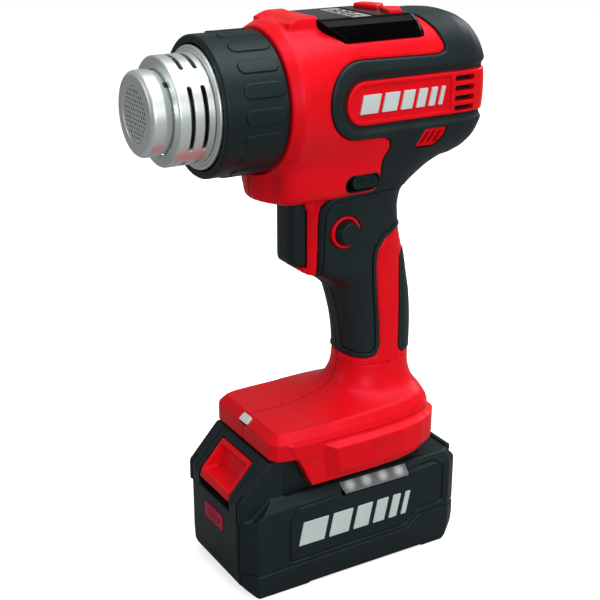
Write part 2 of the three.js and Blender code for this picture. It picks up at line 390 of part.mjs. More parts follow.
for (const [name, s] of [["temp_up_button", 1], ["temp_down_button", -1]]) {
  const top = loft([buttonPlan(s, 0).map(([x, y]) => [x, y, 314.6]), buttonPlan(s, 0).map(([x, y]) => [x, y, 323]), buttonPlan(s, -0.8).map(([x, y]) => [x, y, 323.9])]);
  put(name, top, red());
}

// ---------------------------------------------------------------- trigger, side button, lock slider
const triggerBody = extrude(TRIGGER, "x", -TRIGGER_X, TRIGGER_X).intersect(
  loft([[-32.4, 11.4], [-28.4, 11.4], [-21, 11.4], [-15, 11.4]].map(([y], i) => [[-TRIGGER_X + (i === 0 ? 3.4 : 0), y, 180], [TRIGGER_X - (i === 0 ? 3.4 : 0), y, 180], [TRIGGER_X - (i === 0 ? 3.4 : 0), y, 230], [-TRIGGER_X + (i === 0 ? 3.4 : 0), y, 230]])))
  .add(box(-8, 8, -24, -15.6, 190, 219)).add(box(-2.4, 2.4, -16, -12.4, 202, 208));
put("trigger", triggerBody, dark());
put("trigger_switch", box(-8.5, 8.5, -5.6, 24, 188, 218), dark());
const coilSpring = (r, wire, turns, y0, y1, z, n) => {
  const rings = [], steps = turns * n;
  for (let i = 0; i <= steps; i++) {
    const t = (i / n) * 2 * Math.PI, y = y0 + ((y1 - y0) * i) / steps;
    rings.push(Array.from({ length: 5 }, (_, k) => { const u = (k / 5) * 2 * Math.PI, rr = r + wire * Math.cos(u); return [rr * Math.cos(t), y + wire * Math.sin(u), z + rr * Math.sin(t)]; }));
  }
  return loft(rings);
};
put("trigger_spring", coilSpring(4.2, 0.45, 3, -11.6, -6.3, 205, 10), steel());
put("side_button_bezel", ring(BUTTON_R + 0.4, BEZEL_R, 16.4, 20.3, [0, BUTTON_Y, BUTTON_Z], 32, "x"), red());
put("side_button", turned([[0, 14.6], [BUTTON_R, 14.6], [BUTTON_R, 22.2], [BUTTON_R - 0.8, 23], [0, 23]], "x", [0, BUTTON_Y, BUTTON_Z], 28), dark());
const sliderPts = [];
for (let i = 0; i <= 8; i++) { const t = Math.PI / 2 + (i / 8) * Math.PI; sliderPts.push([SLIDER_Y[0] + SLIDER_HALF + Math.cos(t) * SLIDER_HALF, SLIDER_Z + Math.sin(t) * SLIDER_HALF]); }
for (let i = 0; i <= 8; i++) { const t = -Math.PI / 2 + (i / 8) * Math.PI; sliderPts.push([SLIDER_Y[1] - SLIDER_HALF + Math.cos(t) * SLIDER_HALF, SLIDER_Z + Math.sin(t) * SLIDER_HALF]); }
put("lock_slider", extrude(sliderPts, "x", 18.2, 25.6), dark());

// ---------------------------------------------------------------- work light and terminal block in the base
put("work_light_lens", solid(new THREE.BoxGeometry(8.8, 3.2, 5.2).rotateX(-0.87).translate(windowAt[0], windowAt[1] + 0.4, windowAt[2] - 0.1)), lens());
put("terminal_block", box(-18.8, 18.8, 8.6, 43.4, 84.4, 92)
  .add([-13, -5, 5, 13].map((x) => box(x - 0.5, x + 0.5, 14, 30, 77.6, 84.6)).reduce((a, b) => a.add(b))), dark());

// ---------------------------------------------------------------- housing screws
screwSeat.forEach(([y, z, x], i) => {
  put("housing_screw_" + (i + 1), disc(3.1, x - 2.6, x - 0.3, [0, y, z], 16, "x").subtract(disc(1.3, x - 4, x - 1.6, [0, y, z], 6, "x")), zinc());
});

// ---------------------------------------------------------------- battery pack
const pack = mirrorX(PACK_PLAN);
const packAt = (d, z) => grow(pack, d).map(([x, y]) => [x, y, z]);
const packForm = loft([packAt(-9.6, 0).map(([x, y, z]) => [Math.sign(x) * Math.min(Math.abs(x) + 8, 37), y, z]), packAt(-1.4, 8.2), packAt(0, 12), packAt(0, 54.8), packAt(-4.8, PACK_DECK_Z)]);
const packSlope = extrude([[-77.2, 54], [-77.2, 60.5], [-75.6, 63.8], [-57.4, 84], [-56, PACK_TONGUE_Z + 0.6], [-50, PACK_TONGUE_Z + 0.6], [-50, 54]], "x", -PACK_TONGUE_X - 3, PACK_TONGUE_X + 3)
  .intersect(box(-60, 60, -90, -48, 50, PACK_TONGUE_Z));
const tongue = box(-PACK_TONGUE_X, PACK_TONGUE_X, -56, 46, 54, PACK_TONGUE_Z);
const packOuter = packForm.add(packSlope.intersect(loft([packAt(0, 50), packAt(-0.4, 62), packAt(-4, 90)]).add(box(-33, 33, -78, -40, 50, 90)))).add(tongue);
const packRoom = loft([packAt(-PACK_WALL - 7, 2.6).map(([x, y, z]) => [Math.sign(x) * Math.min(Math.abs(x) + 6.6, 35.4), y, z]), packAt(-PACK_WALL - 0.2, 9), packAt(-PACK_WALL, 53), packAt(-PACK_WALL - 4.4, PACK_DECK_Z - 2.4)]);
const railCut = extrude([[-90, 51], [-69, 51], [-57, 61], [-57, 70], [-90, 70]], "x", -60, 60).subtract(box(-32.2, 32.2, -100, 0, 0, 100));
const seamBelow = extrude([...PACK_SEAM, [90, -10], [-90, -10]], "x", -60, 60);
const seamAbove = extrude([...PACK_SEAM.map(([y, z]) => [y, z + GAP]), [90, 120], [-90, 120]], "x", -60, 60);
const latchPlan = [[-18.6, -84], [18.6, -84], [18.6, -50], [-18.6, -50]];
// latch well: follows the slope, 20 mm deep
const slopeAngle = Math.atan2(84 - 63.8, 75.6 - 57.4);
const well = extrude([[-84, 52.2], [-84, 74], [-76.4, 63.4], [-61.8, 79.8], [-56.8, 76.6], [-60.6, 58], [-60.6, 52.2]], "x", -19, 19);
const latchForm = extrude([[-77.4, 57.6], [-76.4, 62.6], [-61.6, 79.2], [-58, 76.4], [-64.4, 57.6]], "x", -18.4, 18.4);
const scoop = extrude([[-84, 64.6], [-73.2, 63], [-66.4, 62.6], [-62.4, 74.4], [-70, 84], [-84, 80]], "x", -15.8, 15.8);
const ribs = [0, 1, 2, 3].map((i) => box(-13 + 0, 13, -74.6 + i * 2.1, -73.9 + i * 2.1, 62.2, 63.8)).reduce((a, b) => a.add(b));
const latch = latchForm.subtract(scoop).add(ribs.intersect(latchForm)).add(box(-9, 9, -66.4, -63.6, 57.6, 66));
const gaugeHole = box(-11.7, 11.7, -90, -70, 34.4, 45.6);
const ledHole = loft([[[30, -13.2, 50], [45, -13.2, 50], [45, 34, 50], [30, 34, 50]], [[30, -13.2, 61.6], [45, -13.2, 61.6], [45, 34, 61.6], [30, 34, 61.6]]])
  .subtract(box(0, 33.0, -100, 100, 0, 100));
const tongueRoomInner = box(-PACK_TONGUE_X + 2.4, PACK_TONGUE_X - 2.4, -54, 43.6, 50, PACK_TONGUE_Z - 2.2);
const terminalSlots = [-13, -5, 5, 13].map((x) => box(x - 1.4, x + 1.4, 10, 50, 75, 90)).reduce((a, b) => a.add(b));
const upper = packOuter.subtract(packRoom).subtract(tongueRoomInner).subtract(well).subtract(gaugeHole).subtract(ledHole).subtract(terminalSlots).subtract(railCut).intersect(seamAbove);
put("battery_upper_shell", biggest(upper), dark());
put("battery_lower_shell", biggest(packForm.subtract(packRoom).intersect(seamBelow)), dark());
put("battery_latch", latch, red());
put("gauge_button", loft([[[-11.2, -77.9, 35], [11.2, -77.9, 35], [11.2, -77.9, 42], [8.6, -77.9, 45], [-11.2, -77.9, 45]], [[-11.2, -74, 35], [11.2, -74, 35], [11.2, -74, 42], [8.6, -74, 45], [-11.2, -74, 45]]]), redDark());
const lensForm = loft([packAt(-0.1, 54.0), packAt(-0.1, 54.9), packAt(-4.7, 60.4)]).intersect(box(33.4, 45, -12.8, 33.6, 52, 60.3));
put("led_lens", lensForm, lens());
put("led_board", box(31.0, 32.4, -12, 33, 52.4, 55.8), board());
for (const [r, name] of [[0, "cell_row_lower"], [1, "cell_row_upper"]]) {
  let row = null;
  for (let i = 0; i < CELL_COUNT; i++) {
    const c = disc(CELL_R, -CELL_LEN / 2, CELL_LEN / 2, [0, CELL_Y0 + i * CELL_PITCH, CELL_Z[r]], 20, "x");
    row = row ? row.add(c) : c;
  }
  for (const s of [-1, 1]) row = row.add(box(s > 0 ? 34.4 : -35.0, s > 0 ? 35.0 : -34.4, CELL_Y0 - 4, CELL_Y0 + (CELL_COUNT - 1) * CELL_PITCH + 4, CELL_Z[r] - 3.4, CELL_Z[r] + 3.4));
  put(name, row, cellSkin());
}
put("protection_board", box(-26, 26, -44, 50, 49.4, 51).add(box(-16, 16, 12, 40, 50.9, 56)).add(box(-12, -2, -30, -18, 50.9, 54.5)), board());
put("pack_terminals", [-13, -5, 5, 13].map((x) => box(x - 1.1, x - 0.7, 14, 34, 57, 80).add(box(x + 0.7, x + 1.1, 14, 34, 57, 80))).reduce((a, b) => a.add(b)).add(box(-16, 16, 14, 34, 56.4, 58)), copper());

export default group;
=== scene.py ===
"""Looks of the cordless heat gun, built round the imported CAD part. Lengths in the tables are millimetres from the handle
datum; at() moves them into the row frame, in metres."""

import math
import time
from concurrent.futures import ThreadPoolExecutor

import bpy
import numpy as np
from mathutils import Matrix, Vector


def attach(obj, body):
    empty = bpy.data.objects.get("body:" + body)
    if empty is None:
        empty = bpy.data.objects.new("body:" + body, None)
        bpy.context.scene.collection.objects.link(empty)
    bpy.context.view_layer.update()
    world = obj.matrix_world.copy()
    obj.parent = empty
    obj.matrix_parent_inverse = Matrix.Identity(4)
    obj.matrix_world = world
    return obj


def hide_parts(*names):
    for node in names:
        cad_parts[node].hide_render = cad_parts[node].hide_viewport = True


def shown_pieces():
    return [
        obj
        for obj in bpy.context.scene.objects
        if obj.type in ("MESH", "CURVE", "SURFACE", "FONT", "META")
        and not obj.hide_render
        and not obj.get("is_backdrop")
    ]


T0 = time.time()
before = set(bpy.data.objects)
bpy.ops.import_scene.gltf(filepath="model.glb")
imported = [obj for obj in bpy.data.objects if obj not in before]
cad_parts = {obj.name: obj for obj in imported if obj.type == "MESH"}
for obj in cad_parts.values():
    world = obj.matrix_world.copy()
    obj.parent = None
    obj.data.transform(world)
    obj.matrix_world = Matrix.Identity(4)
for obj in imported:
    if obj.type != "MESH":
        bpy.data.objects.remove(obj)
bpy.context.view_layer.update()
SHIFT_Y = 13.85
AXIS_Z = 279.7
FINE = 0.62  # sampling step of the big shells, mm


def at(p):
    """Millimetres from the handle datum to metres in the row frame."""
    p = np.asarray(p, float)
    return (p + np.array([0.0, SHIFT_Y, 0.0])) * 0.001


# ---------------------------------------------------------------- tables
BARREL = [
    [-46, 38.6, 38.6, 2.0], [-44.5, 39.3, 39.3, 2.0], [-40, 41.35, 41.5, 2.0], [-39, 41.2, 41.5, 2.02], [-36, 39.9, 41.3, 2.1],
    [-26, 38.0, 41.2, 2.22], [-14, 36.5, 41.1, 2.35], [0, 35.4, 41.0, 2.5], [24, 35.0, 41.0, 2.6], [56, 34.6, 40.9, 2.65],
    [66, 34.2, 40.1, 2.65], [73, 33.4, 37.9, 2.62], [78, 31.8, 35.0, 2.6], [82, 28.9, 31.0, 2.55], [84.6, 25.2, 26.6, 2.5],
    [86.0, 20.5, 21.5, 2.45],
]
HANDLE = [
    [262, -24, 64, 29, 2.9], [246, -23, 64, 28, 2.9], [240, -22, 60.5, 26.5, 2.8], [236, -21.6, 54.5, 24.6, 2.8],
    [230, -21.2, 45.0, 22.6, 3.2], [224, -21, 39.6, 21.2, 3.4], [215, -21, 38.2, 20.2, 3.4],
    [205, -20.8, 39.4, 19.6, 3.4], [195, -20.5, 41.6, 19.2, 3.4], [186, -20, 44.4, 18.8, 3.3],
    [181, -18.2, 45.9, 18.5, 3.1], [176, -9.5, 47.2, 18.2, 2.8], [170, -2.0, 48.8, 18.0, 2.5],
    [160, 1.0, 50.6, 18.0, 2.5], [150, 3.6, 51.5, 18.0, 2.5], [140, 5.3, 51.9, 18.0, 2.5],
    [130, 6.0, 51.8, 18.0, 2.5], [120, 5.7, 51.4, 18.3, 2.5], [114, 4.4, 51.4, 19.0, 2.5],
    [108, 0.8, 52.8, 20.6, 2.6], [104, -4.5, 54.4, 23.0, 2.7], [100, -13, 56.0, 26.6, 3.0], [96, -20, 56.5, 29.0, 3.2],
][::-1]
CHIN = [
    [262, -45.9, 20, 30], [236, -45.9, 20, 28.2], [231, -45.8, 20, 27.4], [228.6, -45.2, 20, 26.2], [227.0, -44.2, 20, 24.4],
    [226.2, -42.6, 20, 22.4],
][::-1]
BASE_PLAN = [[0, -57.4], [30.5, -57.4], [35.2, -54.6], [37.4, -47], [38, -34], [38, 8], [36.6, 26], [33.8, 39], [29.5, 48], [22, 54.6], [0, 57]]
PACK_PLAN = [[0, -77.2], [28, -77.2], [31, -75.4], [38, -68.6], [38, 63.5], [32.5, 71], [0, 71]]
def arc(cy, cz, r, a0, a1, n):
    """Points of an arc in the side plane, angles in degrees from +Y towards +Z."""
    return [[cy + r * math.cos(math.radians(a0 + (a1 - a0) * i / n)), cz + r * math.sin(math.radians(a0 + (a1 - a0) * i / n))] for i in range(n + 1)]


OVERMOULD = [
    [36.8, 340], [36.8, 322.5], [45.3, 318.8], [49.6, 312.8], [52.7, 304.7], [51.5, 301.6], [46.3, 300.6], *arc(-1.9, 280.7, 20.9, 88, 270, 22), [0.8, 259.8],
    [14, 259.6], [18, 256.9], [19, 252.3], [16, 246.6], [16.2, 241], [16.8, 234], [14.4, 228.8], [9.8, 227.4],
    [-8, 227.1], [-12.6, 225.2], [-15.4, 221.6], [-16.3, 216.6], [-16.3, 181], [-40, 180.4], [-40, 131.6], [3, 128.4], [8, 125.9],
    [15.6, 125.0], [21.6, 126.2], [24.1, 132.3], [23, 150], [21, 170], [19.9, 184.1], [20.6, 191.2], [25.6, 198],
    [35, 201.8], [60, 203], [120, 203], [120, 340],
]
GRIP = [
    [-13.7, 184.5], [-13.7, 216], [-11.8, 221.2], [-8.2, 223.1], [2, 225], [22, 226.6], [36, 226.4], [50, 228],
    [50, 205.2], [34, 204.6], [23.4, 200.2], [17.6, 192.4], [16.9, 184], [18, 170], [20, 150], [20.8, 133.4], [19.9, 129.8],
    [17.4, 128.2], [10, 128.6], [5, 131.4], [-30, 134.6], [-30, 176.8], [-13.7, 176.8],
]
NAMEPLATE = [[120, 290.2], *arc(-0.4, 279.05, 11.65, 90, 270, 16), [120, 267.4]]
NAME_RECESS = [[55.5, 288.5], *arc(0.1, 279.05, 9.5, 90, 270, 16), [55.5, 269.5]]
REAR_PAD = [[60, 188.6], [41, 188.2], [37.6, 184.4], [37.4, 128.4], [40.2, 124.6], [60, 124.4]]
BADGE = [[39.8, 261], [54.4, 261], [53.3, 255.7], [48.6, 250.1], [35.5, 250.4]]
COLUMN = [[-23.2, 240], [-23.2, 185.7], [-25.2, 185.4], [-24.6, 183.8], [-21, 181.0], [-16, 180.2], [5, 180.2], [5, 240]]
GUSSET = [[-31, 229.5], [-28.6, 227.4], [-26.2, 226.4], [-24.2, 224.6], [-23.2, 222.2], [-22.8, 219.6], [-18, 219], [-18, 229.5]]
TRIGGER = [[-20.8, 226.2], [-30.4, 226.2], [-31.2, 225.4], [-31.2, 190.4], [-30.2, 187.6], [-27.6, 186.3], [-21.6, 186], [-20.8, 187]]
PACK_SEAM = [[-90, 16.4], [33, 18.4], [41.5, 25], [90, 25]]
BUTTON_PLAN = [[1.4, 29.4], [17.2, 24.6], [19, 32.2], [7.4, 38.4]]


# ---------------------------------------------------------------- shapes as distance fields
def rmin(a, b, r):
    """Union with a round fillet of radius r."""
    if r <= 0:
        return np.minimum(a, b)
    u, v = np.maximum(r - a, 0), np.maximum(r - b, 0)
    return np.maximum(r, np.minimum(a, b)) - np.sqrt(u * u + v * v)


def rmax(a, b, r):
    """Intersection with a round edge of radius r."""
    if r <= 0:
        return np.maximum(a, b)
    u, v = np.maximum(r + a, 0), np.maximum(r + b, 0)
    return np.minimum(-r, np.maximum(a, b)) + np.sqrt(u * u + v * v)


def smooth1(values, sigma):
    """A Gaussian blur of a row of numbers whose ends carry on in a straight line."""
    n = int(3 * sigma) + 1
    k = np.exp(-0.5 * (np.arange(-n, n + 1) / max(sigma, 1e-6)) ** 2)
    k /= k.sum()
    left = 2 * values[0] - values[n:0:-1]
    right = 2 * values[-1] - values[-2 : -n - 2 : -1]
    return np.convolve(np.concatenate([left, values, right]), k, mode="valid")


class Table:
    """Columns of a table, read at any station, with the corners between the rows smoothed."""

    def __init__(self, rows, sigma=1.0, step=0.25):
        rows = np.array(rows, float)
        self.s = np.arange(rows[0, 0], rows[-1, 0] + step / 2, step)
        self.cols = [smooth1(np.interp(self.s, rows[:, 0], rows[:, i]), sigma / step) for i in range(1, rows.shape[1])]
        self.slopes = [np.gradient(c, step) for c in self.cols]

    def __call__(self, s, i):
        return np.interp(s, self.s, self.cols[i])

    def slope(self, s, i):
        return np.interp(s, self.s, self.slopes[i])


def superellipse(u, v, a, b, e, slope=0.0):
    """Signed distance, good near the surface, to |u/a|^e + |v/b|^e = 1."""
    p, q = np.abs(u) / a + 1e-6, np.abs(v) / b + 1e-6
    s = p**e + q**e
    r = s ** (1 / e)
    k = r / s
    g = k * np.sqrt((p ** (e - 1) / a) ** 2 + (q ** (e - 1) / b) ** 2)
    return (r - 1) / g / np.sqrt(1 + slope * slope)


BARREL_T, HANDLE_T, CHIN_T = Table(BARREL, 0.9), Table(HANDLE, 2.0), Table(CHIN, 1.2)


def barrel_raw(x, y, z):
    s = np.clip(y, -46, 86)
    a, b, e = BARREL_T(s, 0), BARREL_T(s, 1), BARREL_T(s, 2)
    return superellipse(x, z - AXIS_Z, a, b, e, BARREL_T.slope(s, 0))


def barrel(x, y, z, inset=0.0, raw=None):
    d = (barrel_raw(x, y, z) if raw is None else raw) + inset
    return rmax(rmax(d, -46 - y, 0.8), y - 86 + inset, 2.5)


def handle_raw(x, y, z):
    s = np.clip(z, 96, 262)
    f, k, w, e = HANDLE_T(s, 0), HANDLE_T(s, 1), HANDLE_T(s, 2), HANDLE_T(s, 3)
    side = np.where(y > (f + k) / 2, HANDLE_T.slope(s, 1), HANDLE_T.slope(s, 0))
    along = np.clip(np.abs(y - (f + k) / 2) / ((k - f) / 2), 0, 1)
    return superellipse(x, y - (f + k) / 2, w, (k - f) / 2, e, side * along)


def handle(x, y, z, inset=0.0, raw=None):
    d = (handle_raw(x, y, z) if raw is None else raw) + inset
    return rmax(rmax(d, z - 262, 2), 96 - z, 0)


def chin(x, y, z):
    s = np.clip(z, 226.2, 262)
    f, k, w = CHIN_T(s, 0), CHIN_T(s, 1), CHIN_T(s, 2)
    d = superellipse(x, y - (f + k) / 2, w, (k - f) / 2, 5.6)
    t = np.clip(z, 226.2, 245)
    n = np.interp(t, [226.2, 226.8, 228.2, 231, 236, 245], [-48.4, -49.6, -50.7, -51.3, -51.6, -51.6]) + 0.021 * x * x
    nose = rmax(rmax(np.maximum((n - y) * 0.93, y + 30), np.abs(x) - w + 1.0, 2.0), 38.5 - np.hypot(x, z - AXIS_Z), 0.5)
    d = rmin(d, np.maximum(nose, z - 252), 1.5)
    return rmax(rmax(d, z - 262, 2), 226.2 - z, 1.6)


def segments(points):
    p = np.array(points, float)
    return p, np.roll(p, -1, 0)


def poly_exact(points, u, v):
    """Signed distance in the plane to a closed outline."""
    a, b = segments(points)
    best = np.full(u.shape, 1e9)
    inside = np.zeros(u.shape, bool)
    for (ax, ay), (bx, by) in zip(a, b):
        ex, ey = bx - ax, by - ay
        wx, wy = u - ax, v - ay
        t = np.clip((wx * ex + wy * ey) / (ex * ex + ey * ey + 1e-12), 0, 1)
        dx, dy = wx - ex * t, wy - ey * t
        best = np.minimum(best, dx * dx + dy * dy)
        if abs(ey) > 1e-12:
            cross = ((ay <= v) != (by <= v)) & (u < ax + ex * (v - ay) / ey)
            inside ^= cross
    best = np.sqrt(best)
    return np.where(inside, -best, best)


def blur2(a, sigma):
    if sigma <= 0:
        return a
    n = int(3 * sigma) + 1
    k = np.exp(-0.5 * (np.arange(-n, n + 1) / sigma) ** 2)
    k /= k.sum()
    p = np.pad(a, n, mode="reflect", reflect_type="odd")
    out = np.zeros((a.shape[0], p.shape[1]))
    for i, w in enumerate(k):
        out += w * p[i : i + a.shape[0]]
    res = np.zeros(a.shape)
    for i, w in enumerate(k):
        res += w * out[:, i : i + a.shape[1]]
    return res


class Mask:
    """Distance to a plane outline, sampled once on a grid, with its corners rounded by round_mm."""

    def __init__(self, points, lo, hi, round_mm=0.8, step=0.3):
        self.lo, self.step = np.array(lo, float), step
        us = np.arange(lo[0], hi[0] + step, step)
        vs = np.arange(lo[1], hi[1] + step, step)
        u, v = np.meshgrid(us, vs, indexing="ij")
        self.grid = blur2(poly_exact(points, u, v), round_mm / step).astype(np.float32)

    def __call__(self, u, v):
        g = self.grid
        fu = np.clip((u - self.lo[0]) / self.step, 0, g.shape[0] - 1.001)
        fv = np.clip((v - self.lo[1]) / self.step, 0, g.shape[1] - 1.001)
        i, j = fu.astype(np.int32), fv.astype(np.int32)
        fu, fv = fu - i, fv - j
        return (g[i, j] * (1 - fu) + g[i + 1, j] * fu) * (1 - fv) + (g[i, j + 1] * (1 - fu) + g[i + 1, j + 1] * fu) * fv


def mirrored(half):
    return half + [[-x, y] for x, y in half[::-1] if x > 1e-6]


YZ = ((-50, 115), (95, 330))
M_OVER = Mask(OVERMOULD, (YZ[0][0], YZ[0][1]), (YZ[1][0], YZ[1][1]), 0.9)
M_GRIP = Mask(GRIP, (YZ[0][0], YZ[0][1]), (YZ[1][0], YZ[1][1]), 0.9)
M_NAME = Mask(NAMEPLATE, (-30, 255), (95, 300), 0.8)
M_RECESS = Mask(NAME_RECESS, (-30, 255), (95, 300), 0.6)
M_REAR = Mask(REAR_PAD, (25, 115), (70, 200), 0.9)
M_BADGE = Mask(BADGE, (25, 240), (65, 270), 0.5)
M_COLUMN = Mask(COLUMN, (-40, 170), (10, 250), 0.4)
M_GUSSET = Mask(GUSSET, (-40, 205), (-10, 240), 0.4)
M_BASE = Mask(mirrored(BASE_PLAN), (-50, -70), (50, 70), 0.8)
M_PACK = Mask(mirrored(PACK_PLAN), (-50, -90), (50, 85), 0.7)


def box_d(x, y, z, c, h, r=0.0):
    """Distance to a box with centre c, half sizes h and edge radius r."""
    qx, qy, qz = np.abs(x - c[0]) - h[0] + r, np.abs(y - c[1]) - h[1] + r, np.abs(z - c[2]) - h[2] + r
    return np.sqrt(np.maximum(qx, 0) ** 2 + np.maximum(qy, 0) ** 2 + np.maximum(qz, 0) ** 2) + np.minimum(np.maximum(qx, np.maximum(qy, qz)), 0) - r


def slot_d(u, v, cu, cv, hu, hv):
    """Plane distance to a slot with round ends, hu long each way and hv half wide, along u."""
    return np.hypot(np.maximum(np.abs(u - cu) - (hu - hv), 0), v - cv) - hv


def foot(x, y, z):
    """The red foot over the battery: skirt, arms and the band proud of them."""
    p = M_BASE(x, y)
    bevel = (p + (z - 99.6) * 0.96 + 4.8) / 1.386
    skirt = rmax(rmax(rmax(p, bevel, 0.5), z - 99.6, 0.5), 84.2 - z, 0.8)
    front = (-39.6 - y) * 0.904 - (z - 78.5) * 0.428
    arm = rmax(rmax(rmax(p + 0.1, front, 0.5), z - 92, 0), 65.5 - z, 0.5)
    b = p - 5.0
    b = rmax(b, (p * 0.5 + (z - 90.5) * 0.866), 0.45)
    b = rmax(b, (p * 0.6 - (z - 68.4) * 0.8), 0.6)
    slant = (-(y + 27.6) + 0.17 * (89.8 - z) + 1.45 * p) / 1.77
    b = rmax(rmax(b, slant, 0.4), z - 90.9, 0.2)
    b = np.maximum(rmax(b, 65.5 - z, 0.4), -p - 2.0)
    groove = np.clip(0.5 - np.abs(z - 91.2), 0, 0.5) * np.where((y > -27.4) & (np.abs(p) < 1.2), 1.1, 0)
    return rmin(rmin(skirt, arm, 2.6) + groove, b, 0.25)


def brow(x, y, z):
    s = np.clip(z, 310, 324)
    w = np.interp(s, [310, 320.4, 323.6], [19.4, 19.0, 18.2])
    f = np.interp(s, [310, 320.4, 322.6, 323.6], [-36.6, -36.2, -31.6, -29.6]) - 0.9 * (x / 18) ** 2
    d = rmax(rmax(np.abs(x) - w, (f - y) * 0.62, 0.9), z - 323.5, 1.5)
    return rmax(rmax(d, y + 8, 0), 309 - z, 0)


def display_form(x, y, z, grow=0.0):
    s = np.clip(z, 309, 321.8)
    st = [309.0, 310.4, 313.6, 318.4, 321.2, 321.8]
    w = np.interp(s, st, [28.6, 28.3, 27.2, 24.4, 21.0, 19.6]) + grow
    f = np.interp(s, st, [-19.8, -20.2, -21.2, -22.0, -21.8, -20.8]) - grow
    k = np.interp(s, st, [42.6, 42.6, 42.2, 41.4, 40.4, 39.4]) + grow
    c = np.interp(s, [310.4, 313.6, 317.6, 320.4, 321.8], [13.4, 10.8, 5.2, 2.2, 1.6])
    q = np.clip(np.abs(x) / w, 0, 1)
    front = f + c * np.interp(q, [0, 0.5, 0.8, 1.0], [0, 0.12, 0.5, 1.0])
    d = rmax((np.abs(x) - w) * 0.87, (front - y) * 0.86, 0.7)
    d = rmax(d, y - k, 0.9)
    d = rmax(d, (np.abs(x) - w + 3.4) * 0.707 + (y - k) * 0.707, 1.2)
    return d


def display(x, y, z):
    d = rmax(display_form(x, y, z), z - 321.8, 1.1)
    d = rmax(d, 310.2 - z, 0.3)
    lcd = np.maximum(np.maximum(np.abs(x) - 19.0, np.abs(y - 8.5) - 6.9), 319.7 - z)
    d = rmax(d, -lcd, 0.4)
    for s in (1, -1):
        p = poly_exact([[1.4, 29.4], [17.2, 24.6], [19, 32.2], [7.4, 38.4]], x * s, y) - 0.35
        d = rmax(d, -np.maximum(p, 318.0 - z), 0.3)
    return d


def bulge(y, z):
    """How far the soft skin stands above the hard shell's form: a thick lip that dips towards the side plate."""
    e = M_NAME(y, z)
    lip = np.clip((e - 1.2) / 4.2, 0, 1)
    lip = lip * lip * (3 - 2 * lip)
    return -1.5 + 2.3 * lip


def body_form(x, y, z, br, hr):
    """Barrel, chin, column and handle in one, with fillets."""
    b = barrel(x, y, z, 0, br)
    h = handle(x, y, z, 0, hr)
    d = rmin(b, h, 5.0)
    c = chin(x, y, z)
    d = rmin(d, c, 3.0)
    col = rmax(rmax(M_COLUMN(y, z), np.abs(x) - 13.6, 1.2), (np.abs(x) * 0.707 - (y + 19.2) * 0.707 - 13.6 * 0.707), 1.2)
    gus = rmax(M_GUSSET(y, z), np.abs(x) - 13.4, 1.2)
    return rmin(rmin(d, rmax(col, z - 238, 0), 2.0), gus, 1.2)


def skin_form(x, y, z):
    return rmin(barrel(x, y, z), handle(x, y, z), 5.0)


SLOT_C, SLOT_H = 4.3, 11.1


def side_cuts(x, y, z, left=True):
    """The slider's slot and the side button's hole, in the left side only."""
    slot = np.maximum(slot_d(y, z, SLOT_C, 234.3, SLOT_H + 0.6, 5.0), 16.5 - x)
    hole = np.maximum(np.hypot(y + 1.5, z - 205.5) - 9.5, 12.0 - x)
    return np.minimum(slot, hole)


SEATS = [[-30, 303, -27], [-30, 256.5, -27], [70, 300, -22], [66, 259, -24], [7, 243.5, -26.2], [30, 152, -12.6], [-34, 90.4, -36.2], [30, 90.4, -33.4]]


def seam_line(x, depth=0.55, half=0.34):
    """A fine line where the halves meet."""
    return np.maximum(half - np.abs(x), 0) * (depth / half)


def trigger_room(x, y, z, g=0.4):
    return np.maximum(np.maximum(np.abs(x) - 10.4 - g, np.abs(z - 206.1) - 20.5), y - 0.0)


def vents(y, z):
    d = None
    for v in (270.3, 275.7, 281.1, 286.5):
        s = rmax(np.abs(y - 65.2) - 6.7, np.abs(z - v) - 1.5, 1.0)
        d = s if d is None else np.minimum(d, s)
    return d


